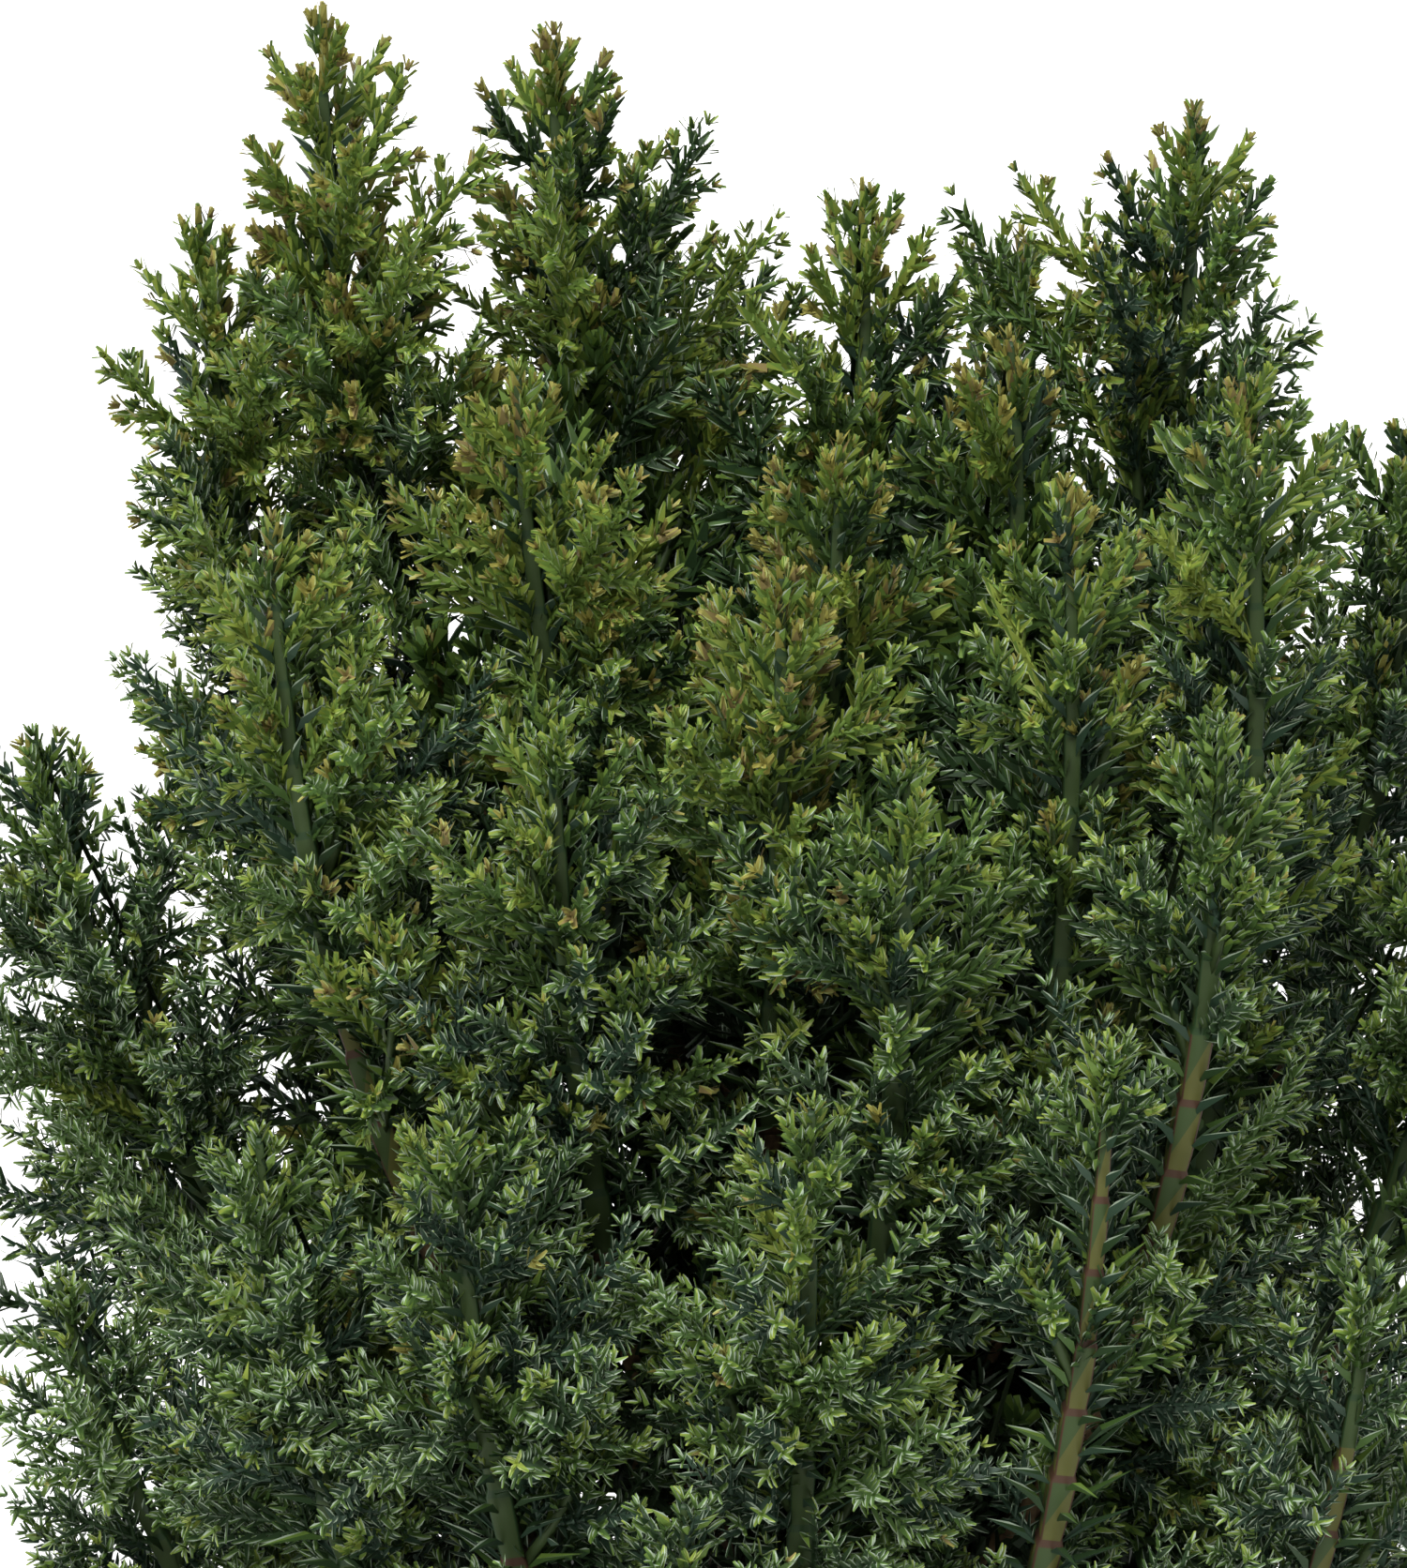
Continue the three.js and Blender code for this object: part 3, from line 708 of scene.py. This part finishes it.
def pairs_at_tips(shoots):
    """The same for the tuft of pairs at the tip of each shoot."""
    count, pairs = len(shoots["length"]), len(TUFT["tilts"])
    number = np.tile(np.arange(pairs), count)
    return {
        "place": (np.repeat(np.arange(count), pairs), number, np.full(pairs * count, TUFT["at"])),
        "tilt": np.array(TUFT["tilts"])[number],
        "size": np.array(TUFT["sizes"])[number],
        "width": TUFT["width"],
        "foot": 0.0,
        "young": 1,
        "newest": number >= pairs - GOLDEN["pairs"],
    }


def needles_on(shoots, rule, plume, rng):
    """Pairs of needles on shoots, each pair turned a quarter from the last."""
    needles = []
    phase = rng.uniform(0, np.pi, len(shoots["length"]))
    tip_tone = tip_tones(shoots, plume, rng)
    for pairs in (pairs_along(shoots, rule), pairs_at_tips(shoots)):
        which, number, share = pairs["place"]
        count = len(which)
        point, ahead, side, square = frame_at(shoots, which, share)
        turn = phase[which] + np.pi / 2 * (number % 2) + jitter(rng, NEEDLE_JITTER["turn"], count)
        young = pairs["young"] > rng.uniform(0, 1, count)
        tone = np.where(young, tip_tone[which], shoots["tone"][which])
        # no golden needles where a spray is in painted shade
        golden = golden_needles(shoots, which, plume, rng) & pairs["newest"] & (tone != INDEX["deep_painted_shade"])
        tone = np.where(golden, deal(rng, count, GOLDEN_NEEDLES, 1), tone)
        scale = shoots["scale"][which]
        age = old_share(shoots, plume)[which]
        tilt = pairs["tilt"] + (OLD_NEEDLE["tilt"] - NEEDLE["tilt"]) * age
        width = (rule["width"] + (OLD_NEEDLE["width"] - NEEDLE["width"]) * age) * pairs["width"]
        for half_turn in (0, np.pi):
            aside = turned(side, square, turn + half_turn)
            angle = np.radians(tilt + jitter(rng, NEEDLE_JITTER["tilt"], count))
            size = rng.uniform(*NEEDLE_JITTER["sizes"], count) * pairs["size"] * scale
            needles.append({
                "base": point + pairs["foot"] * scale[:, None] * aside,
                "heading": tilted(ahead, aside, angle),
                "upper": tilted(-aside, ahead, angle),
                "length": size * rule["length"],
                "width": size * width,
                "tone": tone,
                "age": age,
            })
    return joined(needles)


def needle_points(needles):
    """The corners of each needle: two at its broad foot and two at its blunt tip. The blade is
    twisted, so it is never seen edge-on as a whole. Old ones have finer tips."""
    base, heading, upper = needles["base"], needles["heading"], needles["upper"]
    half_width = needles["width"][:, None] / 2
    wide = np.cross(heading, upper)
    foot_side = half_width * (math.cos(TWIST) * wide - math.sin(TWIST) * upper)
    blunt = TIP_SHARE - OLD_FINER * needles["age"][:, None]
    tip_side = blunt * half_width * (math.cos(TWIST) * wide + math.sin(TWIST) * upper)
    tip = base + needles["length"][:, None] * heading
    return [base + foot_side, base - foot_side, tip + tip_side, tip - tip_side]


def faces_of(points, faces, tones):
    """One mesh of many equal parts, each with its own points and a tone for each of its faces."""
    points = np.stack(points, axis=1)
    start = np.arange(len(points))[:, None, None] * points.shape[1]
    return points.reshape(-1, 3), (np.array(faces)[None] + start).reshape(-1, 3), tones.reshape(-1)


def needle_mesh(needles):
    """A needle is a blunt blade of two faces, one of them painted a little lighter, as a lit side."""
    # the second face gets the painted light of a lit side
    tones = np.stack([needles["tone"], PAINTED_LIGHT_SIDE[needles["tone"]]], axis=1)
    return faces_of(needle_points(needles), [(0, 1, 3), (0, 3, 2)], tones)


def wax_mesh(needles, plume, rng):
    """The pale edge that shows beside most old needles, more so low down on the plant."""
    chance = WAX["low_down"] - WAX["less_higher"] * vigour(plume) + WAX["more_if_old"] * needles["age"]
    # sprays in painted shade have a chance of wax of their own
    chance = np.where(needles["tone"] == INDEX["deep_painted_shade"], WAX["inside"], chance)
    waxed = chosen(needles, rng.uniform(0, 1, len(chance)) < chance)
    foot_left, _, tip_left, _ = needle_points(waxed)
    wide = np.cross(waxed["heading"], waxed["upper"])
    edge = foot_left + WAX_AT * (tip_left - foot_left) + WAX_EDGE * wide
    return faces_of([foot_left, tip_left, edge], [(0, 1, 2)], pale_side(waxed["tone"]))


def long_needles(leaders, axes, rng):
    """Long needles of the leading stems that curve away from the stem. The first leaders are the
    main stems, with whorls of four longer ones. The others have pairs."""
    rule = STEM_NEEDLE
    everywhere = stations(leaders, rule["spacing"], rule["from"], rule["to"])
    on_main = [column[everywhere[0] < axes] for column in everywhere]
    rows = ((everywhere, 0), (everywhere, 1), (on_main, 0.5), (on_main, 1.5))
    return joined([long_needle_row(leaders, *row, axes, rng) for row in rows])


def long_needle_row(leaders, places, half_turns, axes, rng):
    """One needle at each place, on the side that is so many half turns about the stem."""
    rule = STEM_NEEDLE
    which, number, share = places
    count = len(which)
    point, ahead, side, square = frame_at(leaders, which, share)
    main = which < axes
    scale = leaders["scale"][which]
    young = fade(leaders["length"][which] * (1 - share), 1, rule["young_end"])
    tone = deal(rng, count, LONG_NEEDLES, 1)
    turn = np.where(main, 0, np.pi / 2 * (number % 2)) + jitter(rng, rule["turn_jitter"], count)
    aside = turned(side, square, turn + np.pi * half_turns)
    tilt = rule["tilt"] + (rule["young_tilt"] - rule["tilt"]) * young
    angle = np.radians(tilt + jitter(rng, rule["tilt_jitter"], count))
    full = np.where(main, rule["length"], rule["frond_length"])
    length = scale * (full + (rule["young_length"] - full) * young) * rng.uniform(*rule["scatter"], count)
    foot = np.where(main, rule["main_foot"], rule["foot"])[:, None]
    return {
        "base": point + foot * aside,
        "heading": tilted(ahead, aside, angle),
        "upper": tilted(-aside, ahead, angle),
        "length": length,
        "width": rule["width"] * scale,
        "tone": np.where(young > rule["bright_from"], INDEX["bright"], tone),
    }


def long_needle_mesh(needles):
    """A long needle with a keel, that curves outwards, with an upper side painted lighter as if lit, and a
    pale edge.
    """
    base, heading, upper, tone = (needles[field] for field in ("base", "heading", "upper", "tone"))
    length, width = needles["length"][:, None], needles["width"][:, None]
    wide = np.cross(heading, upper)
    near = base + STEM_NEEDLE["widest_at"] * length * heading
    tip = base + length * (heading - STEM_NEEDLE["curve"] * upper)
    left, right = near + width / 2 * wide, near - width / 2 * wide
    keel = near - STEM_NEEDLE["depth"] * width * upper
    edge = left + STEM_NEEDLE["widest_at"] * (tip - left) + WAX_EDGE * (wide + upper)
    faces = [(0, 1, 2), (0, 2, 3), (1, 4, 2), (2, 4, 3), (1, 3, 4), (1, 4, 5)]
    # the upper face gets the painted light of a lit side, and the edge the pale wax
    tones = np.stack([tone] * 4 + [PAINTED_LIGHT_SIDE[tone], pale_side(tone)], axis=1)
    return faces_of([base, left, keel, right, tip, edge], faces, tones)


# Twigs

TWIG_RADIUS = {"lateral": 0.52, "branchlet": 0.45}
TWIG_SIDES = 3
TWIG_END = 0.95  # the share of a shoot at which its twig ends inside the tuft


def even_turns(sides):
    return 2 * np.pi * np.arange(sides) / sides


def twig_mesh(shoots, radius):
    """Three-sided twigs that taper to a point, in the green of their spray, painted shade included."""
    count = len(shoots["length"])
    which = np.arange(count)
    point, _, side, square = frame_at(shoots, which, np.zeros(count))
    thick = (radius * np.sqrt(shoots["scale"]))[:, None]
    turns = even_turns(TWIG_SIDES)
    corners = [point + thick * turned(side, square, np.full(count, turn)) for turn in turns]
    corners.append(shoot_point(shoots, which, np.full(count, TWIG_END)))
    faces = [(i, (i + 1) % TWIG_SIDES, TWIG_SIDES) for i in range(TWIG_SIDES)]
    return faces_of(corners, faces, np.repeat(shoots["tone"], len(faces)))


# Tubes: the trunk, the boughs and the leading stems

SIDEWAYS = np.array([1.0, 0.02, 0.0])  # no tube runs this way


def tube_mesh(path, radius_at, turns, tone_at):
    """A closed tube along a path of points, with corners at the given turns. radius_at takes the
    ring and the turns, and tone_at the ring, the side and the half of its quad."""
    sides = len(turns)
    ahead = unit(np.gradient(path, axis=0))
    side = unit(across(SIDEWAYS, ahead[0]))
    rings = []
    for ring, (point, forward) in enumerate(zip(path, ahead)):
        side = unit(across(side, forward))
        square = np.cross(forward, side)
        rings.append(point + radius_at(ring, turns)[:, None] * turned(side, square, turns))
    points = np.concatenate(rings + [path[:1], path[-1:]])
    last = len(path) - 1
    foot, top = len(path) * sides, len(path) * sides + 1
    faces, tones = [], []
    for i in range(sides):
        j = (i + 1) % sides
        faces += [(foot, j, i), (top, last * sides + i, last * sides + j)]
        tones += [tone_at(0, i, 0), tone_at(last, i, 0)]
        for ring in range(last):
            a, b = ring * sides + i, ring * sides + j
            faces += [(a, b, b + sides), (a, b + sides, a + sides)]
            tones += [tone_at(ring, i, half) for half in (0, 1)]
    return points, np.array(faces), np.array(tones)


MAIN_STEM = {"radius": 2.0, "taper": 0.75, "taper_power": 1.8, "internode": 8.5}
FROND_STEM = {"radius": 0.75, "by_length": 0.006, "sides": 4}
FEWEST_NODES = 4
LAST_NODE = 0.98
STEM_END = 0.99
STEM_SEAM = 5  # half the width of a seam between two of the four faces of a main stem, in degrees
STEM_FACES = np.radians([corner + side * STEM_SEAM for corner in (45, 135, 225, 315) for side in (-1, 1)])
NODE_RINGS = (0, 0.1, 0.35)  # where the tone changes on each internode, as shares of it
NODE_SIZES = (1.15, 0.9, 1.0)  # how thick a stem is at these rings


def main_stems(plume):
    """How many of a plume's leaders are main stems: its limb, where it has one, and its stem."""
    return 2 if "limb" in plume else 1


def stem_tube(plume, leaders, i):
    """A leading stem. A main stem has seams and nodes between its faces. Where it is bare it is
    olive and they are brown."""
    main = i < main_stems(plume)
    length = leaders["length"][i]
    foot_radius = MAIN_STEM["radius"] if main else FROND_STEM["radius"] + FROND_STEM["by_length"] * length
    nodes = max(FEWEST_NODES, int(length / (MAIN_STEM["internode"] * plume["scale"])))
    shares = np.linspace(0, LAST_NODE, nodes)
    if main:
        shares = np.concatenate([shares + part / nodes for part in NODE_RINGS])
        shares = np.sort(np.minimum(shares, STEM_END))
    path = shoot_point(leaders, np.full(len(shares), i), shares)

    def radius_at(ring, turns):
        taper = foot_radius * (1 - MAIN_STEM["taper"] * shares[ring] ** MAIN_STEM["taper_power"])
        size = NODE_SIZES[ring % len(NODE_RINGS)] if main else 1
        return np.full(len(turns), taper * size)

    def tone_at(ring, side, half):
        part = ring % len(NODE_RINGS)
        seam = part == 0 or side % 2 == 0
        bare = shares[ring] <= bare_up_to(plume)
        if main and seam:
            return INDEX["brown_stem" if bare else "shade"]
        olive = part == 1 or half == side // 2 % 2
        return INDEX["olive_stem" if main and bare and olive else "green_stem"]

    return tube_mesh(path, radius_at, STEM_FACES if main else even_turns(FROND_STEM["sides"]), tone_at)


def leader_tubes(plume, leaders):
    """All leading stems but the limb, the one with a stem beyond it, which has bark."""
    return [stem_tube(plume, leaders, i) for i, beyond in enumerate(leaders["beyond"]) if not beyond]


# Bark: ribs are told by their height as a share of the radius, their number, and how far they turn
BOUGH_BARK = {"sides": 8, "rough": 0.06, "ribs": [(0.05, 3, 3)]}
BOUGH_RINGS = {"spacing": 3, "fewest": 6, "from": 0.02}
TRUNK_BARK = {"sides": 28, "rough": 0.035, "ribs": [(0.05, 7, 2.5), (0.03, 12, -2.5)]}
TRUNK_RINGS = 100


def bark_tube(curve, shares, bark, smooth_radius, noise):
    rough = noise.uniform(-bark["rough"], bark["rough"], (len(shares), bark["sides"]))
    starts = noise.uniform(0, 2 * np.pi, len(bark["ribs"]))

    def radius_at(ring, turns):
        relief = rough[ring]
        for (height, count, turn), start in zip(bark["ribs"], starts):
            relief = relief + height * np.cos(count * turns + start + turn * shares[ring])
        return smooth_radius(shares[ring], turns) * (1 + relief)

    return tube_mesh(bezier(curve, shares), radius_at, even_turns(bark["sides"]), lambda *face: 0)


def bough_tube(curve, noise):
    length = curve_steps(curve).sum()
    rings = max(BOUGH_RINGS["fewest"], int(length / BOUGH_RINGS["spacing"]))
    shares = np.linspace(BOUGH_RINGS["from"], 1, rings)
    tip = BOUGH["tip_radius"]
    root = tip + BOUGH["taper"] * length
    return bark_tube(curve, shares, BOUGH_BARK, lambda share, _: root + (tip - root) * share, noise)


def bough_tubes(plumes):
    noise = np.random.default_rng(SEED + 1)
    return [bough_tube(plume["limb"], noise) for plume in plumes if "limb" in plume]


def trunk_tube():
    noise = np.random.default_rng(SEED + 2)
    return bark_tube(TRUNK_CURVE, np.linspace(0, 1, TRUNK_RINGS), TRUNK_BARK, trunk_radius, noise)


# Pieces

def merged(parts):
    points, faces, tones = zip(*parts)
    starts = np.cumsum([0] + [len(part) for part in points])
    faces = [part + start for part, start in zip(faces, starts)]
    return np.concatenate(points), np.concatenate(faces), np.concatenate(tones)


def add_piece(name, parts, materials, nodes, smooth=True):
    """Makes one piece, which stands in for the given nodes of the CAD model."""
    points, faces, tones = merged(parts)
    mesh = bpy.data.meshes.new(name)
    mesh.vertices.add(len(points))
    mesh.vertices.foreach_set("co", (points * METRES).astype(np.float32).ravel())
    mesh.loops.add(3 * len(faces))
    mesh.loops.foreach_set("vertex_index", faces.astype(np.int32).ravel())
    mesh.polygons.add(len(faces))
    mesh.polygons.foreach_set("loop_start", np.arange(0, 3 * len(faces), 3, dtype=np.int32))
    for material in materials:
        mesh.materials.append(material)
    mesh.polygons.foreach_set("material_index", tones.astype(np.int32))
    mesh.polygons.foreach_set("use_smooth", np.full(len(faces), smooth))
    mesh.update(calc_edges=True)
    mesh.validate()
    obj = bpy.data.objects.new(name, mesh)
    bpy.context.scene.collection.objects.link(obj)
    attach(obj, "root")
    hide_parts(*nodes)


# Materials

NEEDLE_LOOK = {"roughness": 0.45, "specular": 0.2}
STEM_LOOK = {"roughness": 0.55, "specular": 0.2}
FLOOR_LOOK = {"roughness": 0.9, "specular": 0.1}
BARK_LOOK = {"roughness": 0.85, "specular": 0.25, "stretch": 0.22, "detail": 6, "relief": 0.7}
BARK_TONES = {"dark_to": 0.35, "light_from": 0.65}

# Barks: the dark brown, the light one, the scale of the fibres and the depth of the relief
BARKS = {
    "trunk_bark": ((0.050, 0.028, 0.017), (0.190, 0.120, 0.075), 420, 0.0004),
    "bough_bark": ((0.060, 0.035, 0.018), (0.170, 0.115, 0.055), 600, 0.0002),
}


def plain_material(name, colour, look):
    material = bpy.data.materials.new(name)
    material.use_nodes = True
    shader = material.node_tree.nodes["Principled BSDF"]
    shader.inputs["Base Color"].default_value = (*colour, 1)
    shader.inputs["Roughness"].default_value = look["roughness"]
    shader.inputs["Specular IOR Level"].default_value = look["specular"]
    return material


def bark_material(name):
    """Bark with long fibres: a stretched noise mixes two browns and raises the ridges."""
    dark, light, scale, depth = BARKS[name]
    material = plain_material(name, dark, BARK_LOOK)
    nodes = material.node_tree.nodes
    shader = nodes["Principled BSDF"]
    place = nodes.new("ShaderNodeTexCoord")
    mapping = nodes.new("ShaderNodeMapping")
    mapping.inputs["Scale"].default_value = (scale, scale, scale * BARK_LOOK["stretch"])
    noise = nodes.new("ShaderNodeTexNoise")
    noise.inputs["Scale"].default_value = 1
    noise.inputs["Detail"].default_value = BARK_LOOK["detail"]
    mixed = nodes.new("ShaderNodeValToRGB")
    low, high = mixed.color_ramp.elements
    low.color, low.position = (*dark, 1), BARK_TONES["dark_to"]
    high.color, high.position = (*light, 1), BARK_TONES["light_from"]
    bump = nodes.new("ShaderNodeBump")
    bump.inputs["Strength"].default_value = BARK_LOOK["relief"]
    bump.inputs["Distance"].default_value = depth
    for source, output, target, entry in (
        (place, "Object", mapping, "Vector"),
        (mapping, "Vector", noise, "Vector"),
        (noise, "Fac", mixed, "Fac"),
        (mixed, "Color", shader, "Base Color"),
        (noise, "Fac", bump, "Height"),
        (bump, "Normal", shader, "Normal"),
    ):
        material.node_tree.links.new(source.outputs[output], target.inputs[entry])
    return material


# The shrub

# Each piece holds the plumes whose names start in one of these ways
PIECES = {
    "crown_left": ("crown_left", "crown_back_left", "crown_leader"),
    "crown_right": ("crown_right", "crown_back_right", "crown_back"),
    "left": ("left_",),
    "right": ("right_",),
    "front_left": ("front_left", "front_upper_left", "front_lower_left", "front_far_left"),
    "front_middle": ("front_inner", "front_upper", "front_middle", "front_centre", "front_low", "front_tall"),
    "front_right": ("front_right", "front_lower_right", "front_far_right"),
    "back_middle": ("back_middle",),
    "back_low": ("back_low",),
    "skirt": ("skirt",),
}
PLUME_SEED = 100


def piece_of(plume):
    """The piece that holds a plume: the one with the longest fitting start of its name."""
    pieces = {start: piece for piece, starts in PIECES.items() for start in starts}
    fitting = [start for start in pieces if plume["name"].startswith(start)]
    return pieces[max(fitting, key=len)]


def grow(plume, plumes, rng):
    stem = curve_shoot(plume["curve"], plume)
    axes = joined([limb_shoot(plume), stem]) if "limb" in plume else stem
    leaders = joined([axes, side_leaders(axes, plume, rng)])
    laterals = side_shoots(leaders, LATERALS, plume, rng, axes=main_stems(plume))
    set_sprays(laterals, plume, plumes, rng)
    branchlets = side_shoots(laterals, BRANCHLETS, plume, rng)
    twiglets = side_shoots(branchlets, TWIGLETS, plume, rng)
    return leaders, laterals, joined([branchlets, twiglets])


def plume_needles(plume, leaders, laterals, branchlets, rng):
    young = tip_part(leaders, TIP_LENGTH, INDEX["fresh"])
    young["tone"] = tip_tones(young, plume, rng)
    meshes = [long_needle_mesh(long_needles(leaders, main_stems(plume), rng))]
    for shoots, rule in ((laterals, NEEDLE), (branchlets, NEEDLE), (young, TIP_NEEDLE)):
        needles = needles_on(shoots, rule, plume, rng)
        meshes += [needle_mesh(needles), wax_mesh(needles, plume, rng)]
    return meshes


def build_shrub():
    plumes = make_plumes()
    greens = [plain_material(name, colour, NEEDLE_LOOK) for name, colour in NEEDLE_COLOURS.items()]
    stems = [plain_material(name, colour, STEM_LOOK) for name, colour in STEM_COLOURS.items()]
    trunk_bark, bough_bark = (bark_material(name) for name in BARKS)
    needles, twigs, nodes = ({piece: [] for piece in PIECES} for _ in range(3))
    for number, plume in enumerate(plumes):
        rng = np.random.default_rng(SEED + PLUME_SEED + number)
        leaders, laterals, branchlets = grow(plume, plumes, rng)
        piece = piece_of(plume)
        needles[piece] += plume_needles(plume, leaders, laterals, branchlets, rng)
        twigs[piece].append(twig_mesh(laterals, TWIG_RADIUS["lateral"]))
        twigs[piece].append(twig_mesh(branchlets, TWIG_RADIUS["branchlet"]))
        twigs[piece] += leader_tubes(plume, leaders)
        nodes[piece].append("foliage_" + plume["name"])
    for piece in PIECES:
        add_piece("needles_" + piece, needles[piece], greens, nodes[piece], smooth=False)
        add_piece("twigs_" + piece, twigs[piece], greens + stems, nodes[piece])
    add_piece("trunk_with_bark", [trunk_tube()], [trunk_bark], ["trunk"])
    boughs = sorted(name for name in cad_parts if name.startswith("bough_"))
    add_piece("boughs_with_bark", bough_tubes(plumes), [bough_bark], boughs)


# Floor, light and camera

FLOOR = {"radius": 14, "corners": 96, "colour": (0.9, 0.9, 0.9)}
SKY_STRENGTH = 0.345
SUN = {"energy": 5.7, "width": 50, "tilt": 32, "turn": -25}
CAMERA = {
    "target": (-6.3, 0, 216), "elevation": 12, "distance": 710, "frame_height": 211.6,
    "sensor": 36, "nearest": 0.01, "farthest": 20,
}


def build_stage():
    bpy.ops.mesh.primitive_circle_add(
        vertices=FLOOR["corners"], radius=FLOOR["radius"], fill_type="NGON", location=(0, 0, 0)
    )
    floor = bpy.context.object
    floor.name = "floor"
    floor.data.materials.append(plain_material("pale_floor", FLOOR["colour"], FLOOR_LOOK))
    world = bpy.data.worlds.new("studio")
    bpy.context.scene.world = world
    world.use_nodes = True
    background = world.node_tree.nodes["Background"]
    background.inputs["Color"].default_value = (1, 1, 1, 1)
    background.inputs["Strength"].default_value = SKY_STRENGTH
    sun = bpy.data.lights.new("soft_key", "SUN")
    sun.energy = SUN["energy"]
    sun.angle = math.radians(SUN["width"])
    key = bpy.data.objects.new("soft_key", sun)
    key.rotation_euler = (math.radians(SUN["tilt"]), 0, math.radians(SUN["turn"]))
    bpy.context.scene.collection.objects.link(key)


def build_camera():
    camera = bpy.data.cameras.new("camera")
    camera.sensor_width = CAMERA["sensor"]
    camera.lens = CAMERA["sensor"] * CAMERA["distance"] / CAMERA["frame_height"]
    camera.clip_start = CAMERA["nearest"]
    camera.clip_end = CAMERA["farthest"]
    view = bpy.data.objects.new("camera", camera)
    raised = math.radians(CAMERA["elevation"])
    back = np.array([0, -math.cos(raised), math.sin(raised)])
    view.location = (np.array(CAMERA["target"]) + CAMERA["distance"] * back) * METRES
    view.rotation_euler = (math.pi / 2 - raised, 0, 0)
    bpy.context.scene.collection.objects.link(view)
    bpy.context.scene.camera = view


build_shrub()
build_stage()
build_camera()
bpy.context.scene.view_settings.view_transform = "Standard"
